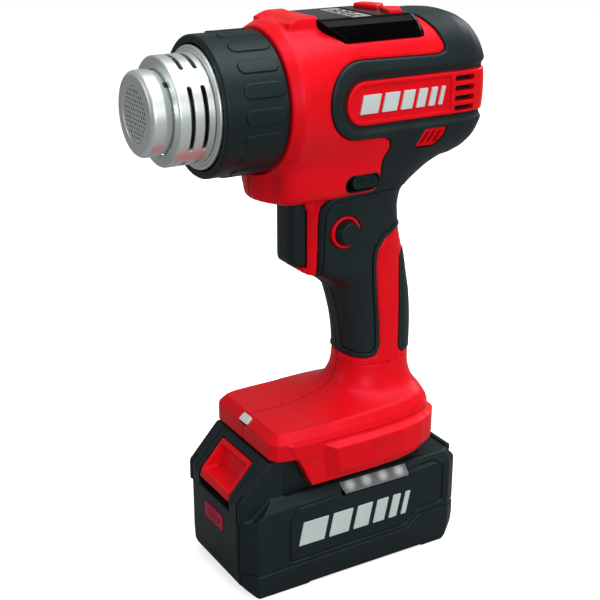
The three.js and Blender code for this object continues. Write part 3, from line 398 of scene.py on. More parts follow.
def red_shell(x, y, z):
    br, hr = barrel_raw(x, y, z), handle_raw(x, y, z)
    d = rmin(rmin(body_form(x, y, z, br, hr), foot(x, y, z), 9.0), brow(x, y, z), 1.6)
    # a step round the soft skin, then the skin's own pocket
    over = M_OVER(y, z)
    step = np.clip((1.5 - over) / 0.5, 0, 1)
    d = d + 0.28 * step
    cover = np.minimum(np.minimum(over, M_NAME(y, z)), M_REAR(y, z))
    core = rmin(barrel(x, y, z, 2.5, br), handle(x, y, z, 2.5, hr), 5.0)
    d = np.minimum(rmax(d, -(cover - 0.22), 0.45), core)
    d = rmax(d, -(rmax(display_form(x, y, z, 0.3), 309.8 - z, 0.3)), 0.35)
    # the hollow nose behind the collar, the trigger's opening, slot and button hole
    d = rmax(d, -np.maximum(np.hypot(x, z - AXIS_Z) - 35.2, y + 40.5), 0.5)
    d = rmax(d, -rmax(rmax(np.abs(x) - 10.8, np.abs(z - 206.1) - 20.5, 0.8), y - 0.0, 0), 0.5)
    d = rmax(d, -side_cuts(x, y, z), 0.5)
    d = np.maximum(d, -np.maximum(np.maximum(vents(y, z), 24.0 - np.abs(x)), 0 * x - 1))
    badge = np.maximum(M_BADGE(y, z) - 0.3, 22.4 - np.abs(x))
    d = np.maximum(d, -badge)
    # rooms in the foot for the pack's tongue, and the work light's window
    d = rmax(d, -rmax(rmax(np.abs(x) - 29.9, z - 83.8, 0.6), y - 47, 0.6), 0.4)
    c, s = math.cos(-0.87), math.sin(-0.87)
    wy, wz = (y + 55.2) * c + (z - 96.4) * s, -(y + 55.2) * s + (z - 96.4) * c
    d = rmax(d, -rmax(np.maximum(np.abs(x) - 4.7, np.abs(wy) - 7.0), np.abs(wz) - 2.9, 0.5), 0.35)
    for sy, sz, sx in SEATS:
        d = rmax(d, -np.maximum(np.hypot(y - sy, z - sz) - 3.5, x - sx), 0.5)
    # the ring line round the lower handle and the line between the halves
    ring_z = 120.5 + np.clip((6 - y) / 12, 0, 1) * 11.0 + np.clip((y - 30) / 22, 0, 1) * 2.5
    line = np.maximum(0.32 - np.abs(z - ring_z), 0) * np.where((z > 112) & (z < 140), 1.2, 0)
    d = d + line + seam_line(x)
    # the space inside
    b = rmax(rmax(barrel(x, y, z, 5.6, br), -39.5 - y, 0), y - 79, 1.0)
    h = rmax(rmax(handle(x, y, z, 5.4, hr), 100 - z, 0), z - 258, 0)
    return rmax(d, -np.minimum(b, h), 0.6)


# ---------------------------------------------------------------- meshing
POOL = ThreadPoolExecutor(4)
CORNERS = np.array([[i, j, k] for i in (0, 1) for j in (0, 1) for k in (0, 1)])
CUBE_EDGES = [(0, 1), (2, 3), (4, 5), (6, 7), (0, 2), (1, 3), (4, 6), (5, 7), (0, 4), (1, 5), (2, 6), (3, 7)]


def evaluate(f, pts, chunk=60000):
    out = np.empty(len(pts), np.float64)

    def part(i):
        p = np.ascontiguousarray(pts[i : i + chunk].T)
        out[i : i + chunk] = f(p[0], p[1], p[2])

    starts = range(0, len(pts), chunk)
    if len(starts) == 1:
        part(0)
    else:
        list(POOL.map(part, starts))
    return out


def gradient(f, pts, eps):
    g = np.empty((len(pts), 3))
    for a in range(3):
        d = np.zeros(3)
        d[a] = eps
        g[:, a] = (evaluate(f, pts + d) - evaluate(f, pts - d)) / (2 * eps)
    return g


def settle(f, pts, h, rounds=2, reach=0.6):
    """Moves points onto the surface along its slope."""
    start = pts.copy()
    for _ in range(rounds):
        v = evaluate(f, pts)
        g = gradient(f, pts, 0.04)
        n2 = np.maximum((g * g).sum(1), 0.05)
        pts = pts - (v / n2)[:, None] * g
        off = pts - start
        far = np.linalg.norm(off, axis=1)
        pts = start + off * np.minimum(1, reach * h / np.maximum(far, 1e-9))[:, None]
    return pts


def surface(f, lo, hi, h, lip=1.5, B=8):
    """Points and quads of the surface f = 0 inside a box, from one point per crossed cell."""
    lo, hi = np.array(lo, float), np.array(hi, float)
    nb = np.maximum(np.ceil((hi - lo) / (h * B)).astype(int), 1)
    bi = np.stack(np.meshgrid(*[np.arange(k) for k in nb], indexing="ij"), -1).reshape(-1, 3)
    centre = lo + (bi + 0.5) * B * h
    near = np.abs(evaluate(f, centre)) < B * h * 0.87 * lip + 1.0
    bi = bi[near]
    o = np.arange(B + 1)
    local = np.stack(np.meshgrid(o, o, o, indexing="ij"), -1).reshape(-1, 3)
    gi, vals = [], []
    for i in range(0, len(bi), 1600):
        part = bi[i : i + 1600]
        pts = lo + ((part[:, None, :] * B + local[None]) * h)
        F = evaluate(f, pts.reshape(-1, 3)).reshape(-1, B + 1, B + 1, B + 1)
        S = F < 0
        n = sum(S[:, a : a + B, b : b + B, c : c + B].astype(np.int8) for a, b, c in CORNERS)
        m, x, y, z = np.nonzero((n > 0) & (n < 8))
        gi.append(part[m] * B + np.stack([x, y, z], 1))
        vals.append(np.stack([F[m, x + a, y + b, z + c] for a, b, c in CORNERS], 1))
    gi, vals = np.concatenate(gi), np.concatenate(vals)
    acc, cnt = np.zeros((len(gi), 3)), np.zeros(len(gi))
    for a, b in CUBE_EDGES:
        fa, fb = vals[:, a], vals[:, b]
        m = (fa < 0) != (fb < 0)
        t = fa[m] / (fa[m] - fb[m])
        acc[m] += CORNERS[a] + t[:, None] * (CORNERS[b] - CORNERS[a])
        cnt[m] += 1
    pos = lo + (gi + acc / cnt[:, None]) * h
    span = nb * B + 3
    key = ((gi[:, 0] + 1) * span[1] + gi[:, 1] + 1) * span[2] + gi[:, 2] + 1
    order = np.argsort(key)
    key, pos, vals, gi = key[order], pos[order], vals[order], gi[order]
    stride = np.array([span[1] * span[2], span[2], 1])
    quads = []
    for axis, corner in ((0, 4), (1, 2), (2, 1)):
        u, v = stride[(axis + 1) % 3], stride[(axis + 2) % 3]
        m = (vals[:, 0] < 0) != (vals[:, corner] < 0)
        k = key[m]
        ids = [np.searchsorted(key, k - d) for d in (0, u, u + v, v)]
        ok = np.ones(len(k), bool)
        for d, j in zip((0, u, u + v, v), ids):
            ok &= (j < len(key)) & (key[np.minimum(j, len(key) - 1)] == k - d)
        q = np.stack(ids, 1)[ok]
        flip = ~(vals[m, 0] < 0)[ok]
        q[flip] = q[flip][:, ::-1]
        quads.append(q)
    return pos, np.concatenate(quads)


def make_mesh(name, pts, faces, normals=None):
    """A Blender mesh from points in millimetres and an array of faces with the same number of corners."""
    me = bpy.data.meshes.new(name)
    n, k = faces.shape
    me.vertices.add(len(pts))
    me.vertices.foreach_set("co", at(pts).astype(np.float32).ravel())
    me.loops.add(n * k)
    me.loops.foreach_set("vertex_index", faces.astype(np.int32).ravel())
    me.polygons.add(n)
    me.polygons.foreach_set("loop_start", np.arange(0, n * k, k, dtype=np.int32))
    me.polygons.foreach_set("loop_total", np.full(n, k, np.int32))
    me.update(calc_edges=True)
    me.validate()
    return me


def set_normals(me, normals):
    me.polygons.foreach_set("use_smooth", np.ones(len(me.polygons), bool))
    me.update()
    me.normals_split_custom_set_from_vertices(normals.astype(np.float32))


def mesh_points(me):
    co = np.empty(len(me.vertices) * 3, np.float32)
    me.vertices.foreach_get("co", co)
    return co.reshape(-1, 3).astype(float) * 1000.0 - np.array([0.0, SHIFT_Y, 0.0])


def keep_largest(pts, quads, share=0.02):
    """Drops loose crumbs: bodies with less than a share of the points."""
    parent = np.arange(len(pts))
    for _ in range(200):
        low = parent.copy()
        for a in range(4):
            np.minimum.at(low, quads[:, a], parent[quads].min(1))
        low = low[low]
        if np.array_equal(low, parent):
            break
        parent = low
    ids, inv, count = np.unique(parent, return_inverse=True, return_counts=True)
    good = count[inv] >= share * count.max()
    remap = np.cumsum(good) - 1
    keep = good[quads].all(1)
    return pts[good], remap[quads[keep]]


def field_piece(name, f, lo, hi, h, body, material, ratio=0.5, stands_for=(), slot=None, lip=1.3, rounds=1, crumbs=0.02, normal_eps=0.1):
    """A piece whose surface is f = 0, thinned where it is flat, with its shading taken from the field."""
    t = time.time()
    pts, quads = surface(f, lo, hi, h, lip)
    pts, quads = keep_largest(pts, quads, crumbs)
    pts = settle(f, pts, h, rounds)
    t1 = time.time()
    me = make_mesh(name, pts, quads)
    ob = bpy.data.objects.new(name, me)
    bpy.context.scene.collection.objects.link(ob)
    if ratio < 1:
        mod = ob.modifiers.new("thin", "DECIMATE")
        mod.ratio = ratio
        dg = bpy.context.evaluated_depsgraph_get()
        thin = bpy.data.meshes.new_from_object(ob.evaluated_get(dg))
        ob.modifiers.clear()
        ob.data = thin
        bpy.data.meshes.remove(me)
        me = thin
        me.name = name
    p = mesh_points(me)
    p = settle(f, p, h, 2, 0.3)
    me.vertices.foreach_set("co", at(p).astype(np.float32).ravel())
    g = gradient(f, p, normal_eps)
    g /= np.maximum(np.linalg.norm(g, axis=1), 1e-9)[:, None]
    set_normals(me, g)
    me.materials.append(material)
    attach(ob, body)
    if stands_for:
        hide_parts(*stands_for)
    print(f"{name}: {len(quads)} quads -> {len(me.polygons)} faces in {time.time() - t:.1f} s, field {t1 - t:.1f} s", flush=True)
    return ob


# ---------------------------------------------------------------- materials
def principled(name, color, rough, metal=0.0, grain=1400, bump=0.25, depth=0.00004, mottle=0.06, mottle_scale=55, rough_var=0.08,
               coat=0.0, coat_rough=0.15, ior=1.46, spec=0.5, tint=None, transmission=0.0, scratch=0.0, turned=False):
    """A moulded surface: base colour with slow mottling, fine texture in roughness and bump, and the slow mottling
    mixed into the roughness too.
    """
    m = bpy.data.materials.new(name)
    m.use_nodes = True
    nt = m.node_tree
    nt.nodes.clear()
    out = nt.nodes.new("ShaderNodeOutputMaterial")
    b = nt.nodes.new("ShaderNodeBsdfPrincipled")
    nt.links.new(b.outputs["BSDF"], out.inputs["Surface"])
    b.inputs["Metallic"].default_value = metal
    b.inputs["IOR"].default_value = ior
    b.inputs["Specular IOR Level"].default_value = spec
    b.inputs["Coat Weight"].default_value = coat
    b.inputs["Coat Roughness"].default_value = coat_rough
    b.inputs["Transmission Weight"].default_value = transmission
    if tint:
        b.inputs["Specular Tint"].default_value = (*tint, 1)
    tc = nt.nodes.new("ShaderNodeTexCoord")
    slow = nt.nodes.new("ShaderNodeTexNoise")
    slow.inputs["Scale"].default_value = mottle_scale
    slow.inputs["Detail"].default_value = 3
    nt.links.new(tc.outputs["Object"], slow.inputs["Vector"])
    ramp = nt.nodes.new("ShaderNodeValToRGB")
    lo, hi = 1 - mottle, 1 + mottle
    ramp.color_ramp.elements[0].position, ramp.color_ramp.elements[1].position = 0.3, 0.7
    ramp.color_ramp.elements[0].color = (*[min(c * lo, 1) for c in color], 1)
    ramp.color_ramp.elements[1].color = (*[min(c * hi, 1) for c in color], 1)
    nt.links.new(slow.outputs["Fac"], ramp.inputs["Fac"])
    nt.links.new(ramp.outputs["Color"], b.inputs["Base Color"])
    fine = nt.nodes.new("ShaderNodeTexNoise")
    fine.inputs["Scale"].default_value = grain
    fine.inputs["Detail"].default_value = 2
    if turned:
        sep = nt.nodes.new("ShaderNodeSeparateXYZ")
        nt.links.new(tc.outputs["Object"], sep.inputs["Vector"])
        dz = nt.nodes.new("ShaderNodeMath")
        dz.operation = "SUBTRACT"
        nt.links.new(sep.outputs["Z"], dz.inputs[0])
        dz.inputs[1].default_value = AXIS_Z * 0.001
        ln = nt.nodes.new("ShaderNodeVectorMath")
        ln.operation = "LENGTH"
        cx = nt.nodes.new("ShaderNodeCombineXYZ")
        nt.links.new(sep.outputs["X"], cx.inputs["X"])
        nt.links.new(dz.outputs[0], cx.inputs["Y"])
        nt.links.new(cx.outputs[0], ln.inputs[0])
        cy = nt.nodes.new("ShaderNodeCombineXYZ")
        nt.links.new(ln.outputs["Value"], cy.inputs["X"])
        nt.links.new(sep.outputs["Y"], cy.inputs["Y"])
        nt.links.new(cy.outputs[0], fine.inputs["Vector"])
    else:
        nt.links.new(tc.outputs["Object"], fine.inputs["Vector"])
    rr = nt.nodes.new("ShaderNodeMapRange")
    rr.inputs["From Min"].default_value, rr.inputs["From Max"].default_value = 0.3, 0.7
    rr.inputs["To Min"].default_value, rr.inputs["To Max"].default_value = max(rough - rough_var, 0.02), min(rough + rough_var, 1)
    mixn = nt.nodes.new("ShaderNodeMix")
    mixn.data_type = "FLOAT"
    mixn.inputs[0].default_value = 0.45
    nt.links.new(slow.outputs["Fac"], mixn.inputs[2])
    nt.links.new(fine.outputs["Fac"], mixn.inputs[3])
    nt.links.new(mixn.outputs[0], rr.inputs["Value"])
    nt.links.new(rr.outputs["Result"], b.inputs["Roughness"])
    if bump > 0:
        bp = nt.nodes.new("ShaderNodeBump")
        bp.inputs["Strength"].default_value = bump
        bp.inputs["Distance"].default_value = depth
        nt.links.new(fine.outputs["Fac"], bp.inputs["Height"])
        nt.links.new(bp.outputs["Normal"], b.inputs["Normal"])
    return m


M = {}
M["red"] = principled("red_plastic", (0.80, 0.0045, 0.0085), 0.34, grain=1500, bump=0.22, mottle=0.05, rough_var=0.07, spec=0.22, tint=(1.0, 0.42, 0.92))
M["crimson"] = principled("crimson_plastic", (0.40, 0.011, 0.045), 0.4, grain=1500, bump=0.25, mottle=0.05, spec=0.25)
M["soft"] = principled("soft_skin", (0.0098, 0.0158, 0.0168), 0.46, grain=2200, bump=0.4, depth=0.00004, mottle=0.12, rough_var=0.07, spec=0.30, tint=(0.72, 0.96, 1.0))
M["dark"] = principled("dark_plastic", (0.0092, 0.0150, 0.0160), 0.40, grain=1300, bump=0.3, depth=0.00004, mottle=0.1, rough_var=0.07, spec=0.26, tint=(0.72, 0.96, 1.0))
M["gloss"] = principled("black_gloss", (0.0008, 0.0008, 0.0009), 0.16, grain=300, bump=0.03, depth=0.00002, mottle=0.2, rough_var=0.04, spec=0.06)
M["steel"] = principled("satin_steel", (0.76, 0.82, 0.81), 0.37, metal=0.82, grain=2600, bump=0.035, depth=0.00002, mottle=0.02, rough_var=0.035, turned=True)
M["motor"] = principled("motor_can", (0.42, 0.43, 0.44), 0.4, metal=1.0, grain=900, mottle=0.08)
M["zinc"] = principled("zinc_screw", (0.46, 0.47, 0.48), 0.38, metal=1.0, grain=1800, mottle=0.12, rough_var=0.1)
M["mica"] = principled("mica", (0.045, 0.040, 0.034), 0.5, grain=500, mottle=0.2, bump=0.4)
M["ceramic"] = principled("ceramic", (0.80, 0.75, 0.65), 0.7, grain=900, mottle=0.06, bump=0.4)
M["board"] = principled("circuit_board", (0.012, 0.10, 0.035), 0.45, grain=260, mottle=0.3, mottle_scale=240, bump=0.3)
M["white"] = principled("white_lens", (0.74, 0.76, 0.72), 0.22, grain=900, mottle=0.03, bump=0.1, coat=0.4)
M["mark"] = principled("light_mark", (0.60, 0.68, 0.67), 0.42, grain=1700, mottle=0.05, bump=0.2)
M["cell"] = principled("cell_wrap", (0.03, 0.16, 0.42), 0.35, grain=700, mottle=0.1)
M["brass"] = principled("contact_brass", (0.62, 0.40, 0.13), 0.35, metal=1.0, grain=1500, mottle=0.15)
M["floor"] = principled("studio_floor", (0.88, 0.88, 0.88), 0.8, grain=60, mottle=0.01, bump=0.02, spec=0.1)


def studio_floor(m, seen, unseen):
    """A white floor in the picture that throws back less light than it shows."""
    nt = m.node_tree
    b = next(n for n in nt.nodes if n.type == "BSDF_PRINCIPLED")
    b.inputs["Emission Color"].default_value = (1, 1, 1, 1)
    b.inputs["Emission Strength"].default_value = seen
    grey = nt.nodes.new("ShaderNodeBsdfDiffuse")
    grey.inputs["Color"].default_value = (unseen, unseen, unseen, 1)
    ray, mix = nt.nodes.new("ShaderNodeLightPath"), nt.nodes.new("ShaderNodeMixShader")
    nt.links.new(ray.outputs["Is Camera Ray"], mix.inputs[0])
    nt.links.new(grey.outputs[0], mix.inputs[1])
    nt.links.new(b.outputs[0], mix.inputs[2])
    nt.links.new(mix.outputs[0], next(n for n in nt.nodes if n.type == "OUTPUT_MATERIAL").inputs["Surface"])


studio_floor(M["floor"], 0.68, 0.30)


def with_seam(m, half):
    """The same plastic with shade in the joint line where the two halves meet."""
    nt = m.node_tree
    b = next(n for n in nt.nodes if n.type == "BSDF_PRINCIPLED")
    old = b.inputs["Base Color"].links[0].from_socket
    tc, sep = nt.nodes.new("ShaderNodeTexCoord"), nt.nodes.new("ShaderNodeSeparateXYZ")
    nt.links.new(tc.outputs["Object"], sep.inputs["Vector"])
    away = nt.nodes.new("ShaderNodeMath")
    away.operation = "ABSOLUTE"
    nt.links.new(sep.outputs["X"], away.inputs[0])
    near = nt.nodes.new("ShaderNodeMapRange")
    near.inputs["From Min"].default_value, near.inputs["From Max"].default_value = half * 0.5, half
    near.inputs["To Min"].default_value, near.inputs["To Max"].default_value = 1.0, 0.0
    nt.links.new(away.outputs[0], near.inputs["Value"])
    mix = nt.nodes.new("ShaderNodeMix")
    mix.data_type = "RGBA"
    nt.links.new(near.outputs["Result"], mix.inputs[0])
    nt.links.new(old, mix.inputs[6])
    mix.inputs[7].default_value = (0.16, 0.002, 0.003, 1)
    nt.links.new(mix.outputs[2], b.inputs["Base Color"])
    return m


M["housing_red"] = with_seam(principled("housing_red", (0.80, 0.0045, 0.0085), 0.34, grain=1500, bump=0.22, mottle=0.05, rough_var=0.07, spec=0.22, tint=(1.0, 0.42, 0.92)), 0.00034)


def lens_material():
    """Smoked plastic over four pale lamps in a row."""
    m = principled("led_lens", (0.16, 0.17, 0.18), 0.2, grain=900, mottle=0.1, bump=0.1, coat=0.5)
    nt = m.node_tree
    b = next(n for n in nt.nodes if n.type == "BSDF_PRINCIPLED")
    old = b.inputs["Base Color"].links[0].from_socket
    tc = nt.nodes.new("ShaderNodeTexCoord")
    total = None
    for i in range(4):
        centre = at([36.2, -6.6 + 11.4 * i, 58.0])
        sub = nt.nodes.new("ShaderNodeVectorMath")
        sub.operation = "SUBTRACT"
        sub.inputs[1].default_value = tuple(centre)
        nt.links.new(tc.outputs["Object"], sub.inputs[0])
        ln = nt.nodes.new("ShaderNodeVectorMath")
        ln.operation = "LENGTH"
        nt.links.new(sub.outputs[0], ln.inputs[0])
        mr = nt.nodes.new("ShaderNodeMapRange")
        mr.interpolation_type = "SMOOTHSTEP"
        mr.inputs["From Min"].default_value, mr.inputs["From Max"].default_value = 0.0006, 0.0050
        mr.inputs["To Min"].default_value, mr.inputs["To Max"].default_value = 1.0, 0.0
        nt.links.new(ln.outputs["Value"], mr.inputs["Value"])
        if total is None:
            total = mr.outputs["Result"]
        else:
            mx = nt.nodes.new("ShaderNodeMath")
            mx.operation = "MAXIMUM"
            nt.links.new(total, mx.inputs[0])
            nt.links.new(mr.outputs["Result"], mx.inputs[1])
            total = mx.outputs[0]
    mix = nt.nodes.new("ShaderNodeMix")
    mix.data_type = "RGBA"
    nt.links.new(total, mix.inputs[0])
    nt.links.new(old, mix.inputs[6])
    mix.inputs[7].default_value = (0.60, 0.66, 0.66, 1)
    nt.links.new(mix.outputs[2], b.inputs["Base Color"])
    return m


M["led"] = lens_material()


# ---------------------------------------------------------------- the housing's pieces
def soft_skin(x, y, z):
    s = skin_form(x, y, z)
    over = M_OVER(y, z)
    d = rmax(s - bulge(y, z), over, 1.3)
    d = np.maximum(d, -(s + 2.35))
    d = rmax(d, -(M_NAME(y, z) - 0.25), 0.5)
    strip = np.maximum(np.maximum(np.abs(x) - 4.3, y - 11.7), np.maximum(120 - z, z - 183.1))
    grip = np.maximum(M_GRIP(y, z) - 0.22, -strip)
    d = rmax(d, -grip, 0.4)
    d = rmax(d, -(M_BADGE(y, z) - 0.25), 0.4)
    d = rmax(d, -rmax(display_form(x, y, z, 0.3), 309.8 - z, 0), 0.3)
    d = rmax(d, -side_cuts(x, y, z), 0.4)
    d = rmax(d, -rmax(np.maximum(np.abs(x) - 10.8, np.abs(z - 206.1) - 20.5), y - 0.0, 0), 0.3)
    col = np.maximum(np.maximum(np.abs(x) - 13.8, y + 15.9), np.maximum(180.0 - z, z - 232))
    d = rmax(d, -col, 0.3)
    d = np.maximum(d, -(foot(x, y, z) - 3))
    ring = np.maximum(0.3 - np.abs(z - (227.6 + 0.085 * (y - 10))), 0) * np.where((y > 14) & (z > 220), 1.2, 0)
    return d + seam_line(x) + ring


def grip_pad(x, y, z):
    s = skin_form(x, y, z)
    d = rmax(s - 0.35, M_GRIP(y, z) + 0.1, 0.45)
    strip = np.maximum(np.maximum(np.abs(x) - 4.6, y - 12), np.maximum(120 - z, z - 183.4))
    d = rmax(d, -strip, 0.3)
    d = np.maximum(d, -(s + 2.3))
    d = rmax(d, -rmax(np.maximum(np.abs(x) - 10.8, np.abs(z - 206.1) - 20.5), y - 0.0, 0), 0.3)
    d = rmax(d, -np.maximum(np.hypot(y + 1.5, z - 205.5) - 9.5, 12.0 - x), 0.4)
    return d


def rear_pad(x, y, z):
    m = M_REAR(y, z)
    h = handle(x, y, z)
    d = rmax(h - 0.45, m, 0.8)
    d = np.maximum(d, -(h + 2.3))
    return d + np.maximum(0.34 - np.abs(m + 2.6), 0) * 1.6


def nameplate(x, y, z):
    b = barrel(x, y, z)
    m = M_NAME(y, z)
    d = rmax(b + 0.35, m, 0.9)
    d = rmax(d, -rmax(M_RECESS(y, z), -(b + 1.35), 0.3), 0.3)
    d = np.maximum(d, -(b + 2.4))
    return rmax(d, -vents(y, z), 0.3) + seam_line(x)


def intake_screen(x, y, z):
    """Dark screen inside the rear vents, against the housing's inner wall."""
    return rmax(np.abs(barrel(x, y, z) + 6.5) - 0.5, np.maximum(np.abs(y - 65.2) - 10, np.abs(z - 278.4) - 13), 0.2)


for s, n in ((1, "left"), (-1, "right")):
    lo_x, hi_x = (10, 34) if s > 0 else (-34, -10)
    field_piece("intake_screen_" + n, intake_screen, [lo_x, 54, 264], [hi_x, 77, 293], 0.6, "housing", M["dark"], 0.4, slot="dark_plastic")


BADGE_SLOTS = [[[41.6 + i * 4.1, 259.2], [43.9 + i * 4.1, 259.2], [41.1 + i * 4.1, 252.2], [38.8 + i * 4.1, 252.2]] for i in range(3)]
M_SLOTS = [Mask(s, (30, 245), (65, 268), 0.35) for s in BADGE_SLOTS]


def badge(x, y, z):
    b = barrel(x, y, z)
    m = M_BADGE(y, z)
    d = rmax(b - 0.1, m, 0.5)
    d = np.maximum(d, -(b + 3.4))
    d = rmax(d, -rmax(m + 1.0, -(b + 0.5), 0.2), 0.25)
    s = np.minimum(np.minimum(M_SLOTS[0](y, z), M_SLOTS[1](y, z)), M_SLOTS[2](y, z))
    return rmax(d, -rmax(s, -(b + 3.0), 0), 0.3)


def one_side(f, s):
    return lambda x, y, z: np.maximum(f(x, y, z), 0.15 - s * x)


BOX_ALL = ([-44, -59.6, 64], [44, 88.5, 326])
red = field_piece("housing_shell", red_shell, *BOX_ALL, FINE, "housing", M["housing_red"], 0.18, ["housing_left", "housing_right"], "red_plastic")
field_piece("soft_skin", soft_skin, [-42, -30, 122], [42, 89, 324], FINE, "housing", M["soft"], 0.4, ["overmould_left", "overmould_right"], "soft_grip")
for s, n in ((1, "left"), (-1, "right")):
    lo_x, hi_x = (0, 34) if s > 0 else (-34, 0)
    field_piece("grip_pad_" + n + "_skin", one_side(grip_pad, s), [lo_x - 1, -24, 124], [hi_x + 1, 52, 231], 0.55, "housing", M["soft"], 0.4, ["grip_pad_" + n], "soft_grip")
    lo_x, hi_x = (0, 38) if s > 0 else (-38, 0)
    field_piece("side_plate_" + n, one_side(nameplate, s), [lo_x - 1, -15, 264], [hi_x + 1, 88.5, 295], 0.5, "housing", M["red"], 0.4, ["nameplate_" + n], "red_plastic")
    lo_x, hi_x = (20, 38) if s > 0 else (-38, -20)
    field_piece("badge_" + n, badge, [lo_x, 33, 247], [hi_x, 57, 264], 0.35, "housing", M["red"], 0.5, ["vent_badge_" + n], "red_plastic")
field_piece("rear_pad_skin", rear_pad, [-22, 34, 121], [22, 56, 192], 0.5, "housing", M["soft"], 0.4, ["rear_grip_pad"], "soft_grip")


def bars(u, v, u0, v0, v1, widths, gap, lean):
    """A row of slanted bars that narrow along u."""
    d = None
    c = u0
    for w in widths:
        s = (v - v0) * lean
        b = rmax(np.abs(u - s - c - w / 2) - w / 2, np.abs(v - (v0 + v1) / 2) - (v1 - v0) / 2, 0.5)
        d = b if d is None else np.minimum(d, b)
        c += w + gap
    return d


def plate_mark(x, y, z):
    return rmax(bars(y, z, -3.6, 273.6, 283.6, [11.4, 9.4, 7.4, 5.6, 4.0, 2.6], 2.6, 0.22), np.abs(barrel(x, y, z) + 1.1) - 0.7, 0.25)


for s, n in ((1, "left"), (-1, "right")):
    lo_x, hi_x = (28, 38) if s > 0 else (-38, -28)
    field_piece("plate_mark_" + n, plate_mark, [lo_x, -5, 272], [hi_x, 55, 286], 0.32, "housing", M["mark"], 0.4, slot="red_plastic")

field_piece("display_shell", display, [-30, -26, 308], [30, 44.5, 323.5], 0.42, "housing", M["gloss"], 0.4, ["display_housing"], "black_gloss")


def lcd(x, y, z):
    return rmax(rmax(np.abs(x) - 18.7, np.abs(y - 8.5) - 6.6, 0.5), np.abs(z - 320.65) - 0.65, 0.2)


M["screen"] = principled("lcd_glass", (0.46, 0.50, 0.47), 0.12, grain=600, mottle=0.03, bump=0.02, coat=0.6, coat_rough=0.05)
field_piece("lcd_window", lcd, [-20, 1, 319], [20, 16, 322], 0.4, "housing", M["screen"], 0.4, ["lcd_panel"], "clear_lens")
SEGMENTS = {"0": "abcdef", "1": "bc", "2": "abged", "3": "abgcd", "4": "fgbc", "5": "afgcd", "6": "afgedc", "7": "abc", "8": "abcdefg", "9": "abcfgd"}


def digit(u, v, char, h=8.4, w=4.6):
    """Distance to a seven-segment figure whose lower left corner is at the origin."""
    d = np.full(u.shape, 9.0)
    t = 0.55
    for s in SEGMENTS[char]:
        if s in "agd":
            cv = {"a": h - t, "g": h / 2, "d": t}[s]
            b = np.maximum(np.abs(u - w / 2) - (w / 2 - 1.0), np.abs(v - cv) - t)
        else:
            cu = t if s in "fe" else w - t
            cv = h * 0.75 if s in "fb" else h * 0.25
            b = np.maximum(np.abs(u - cu) - t, np.abs(v - cv) - (h / 4 - 0.65))
        d = np.minimum(d, b)
    return d


def lcd_figures(x, y, z):
    # read from behind the tool: right runs towards +X, up towards -Y
    v = 13.2 - y
    u = -x
    u = x
    d = np.full(x.shape, 9.0)
    for i, c in enumerate("350"):
        d = np.minimum(d, digit(u + 13.0 - i * 6.4, v, c))
    deg = np.abs(np.hypot(u - 8.2, v - 7.4) - 0.9) - 0.35
    cee = np.maximum(np.abs(np.hypot(u - 12.0, v - 5.6) - 2.4) - 0.5, u - 13.4)
    d = np.minimum(np.minimum(d, deg), cee)
    return np.maximum(d, np.abs(z - 321.32) - 0.12)


field_piece("lcd_figures", lcd_figures, [-16, 1.5, 320.8], [16, 15, 321.9], 0.24, "housing", M["gloss"], 0.5, slot="black_gloss", rounds=1, crumbs=0.0)


def temp_button(s):
    m = Mask([[x * s, y] for x, y in BUTTON_PLAN], (-22, 18), (22, 44), 0.35, 0.15)

    def f(x, y, z):
        d = rmax(m(x, y), z - 323.8, 1.0)
        d = rmax(d, 314.6 - z, 0.2)
        # an engraved sign: plus on one, minus on the other
        cu, cv = 10.8 * s, 31.2
        sign = np.maximum(np.abs(x - cu) - 2.4, np.abs(y - cv) - 0.5)
        if s > 0:
            sign = np.minimum(sign, np.maximum(np.abs(y - cv) - 2.4, np.abs(x - cu) - 0.5))
        return rmax(d, -np.maximum(sign, 323.35 - z), 0.15)

    return f


for s, n in ((1, "up"), (-1, "down")):
    lo_x, hi_x = (0, 20.5) if s > 0 else (-20.5, 0)
    field_piece("temp_" + n + "_key", temp_button(s), [lo_x, 23, 313.5], [hi_x, 40, 325], 0.3, "temp_" + n + "_body", M["red"], 0.5, ["temp_" + n + "_button"], "red_plastic")


# ---------------------------------------------------------------- outlet and collar
def polar(x, z):
    return np.hypot(x, z - AXIS_Z), np.arctan2(x, z - AXIS_Z)


def cap(x, y, z):
    r, t = polar(x, z)
    waist = 21.95 - 1.3 * np.clip((y + 107.5) / 5.0, 0, 1)
    d = rmax(r - waist, -115.2 - y, 2.7)
    d = rmax(d, y + 101.3, 0.2)
    d = rmax(d, -rmax(r - 14.5, y + 112.0, 0), 0.4)
    d = rmax(d, -np.maximum(r - 19.9, -113.0 - y), 0.3)
    lip = np.maximum(np.abs(r - 20.4) - 0.9, np.abs(y + 103.4) - 0.25)
    tabs = np.abs(np.mod(t + 0.35, math.pi / 1.5) - math.pi / 3) * 20.5
    notch = np.maximum(np.maximum(tabs - 1.7, -(y + 105.0)), 18 - r)
    d = rmax(np.minimum(d, lip + 0.3), -notch, 0.3)
    tube = rmax(np.abs(r - 20.75) - 0.4, np.abs(y + 97.6) - 4.4, 0.2)
    web = np.maximum(np.abs(r - 20.4) - 0.75, np.abs(y + 101.8) - 0.6)
    return np.minimum(d, np.minimum(tube, web))


HEX = 2.7


def screen(x, y, z):
    u, v = x, z - AXIS_Z
    a, b = HEX, HEX * math.sqrt(3)
    d1 = np.hypot(u - a * np.round(u / a), v - b * np.round(v / b))
    d2 = np.hypot(u - a * (np.floor(u / a) + 0.5), v - b * (np.floor(v / b) + 0.5))
    r = np.hypot(u, v)
    hole = np.where(r < 13.2, 0.82 - np.minimum(d1, d2), -2.0)
    return np.maximum(np.maximum(np.abs(y + 114.5) - 0.35, r - 14.3), hole)


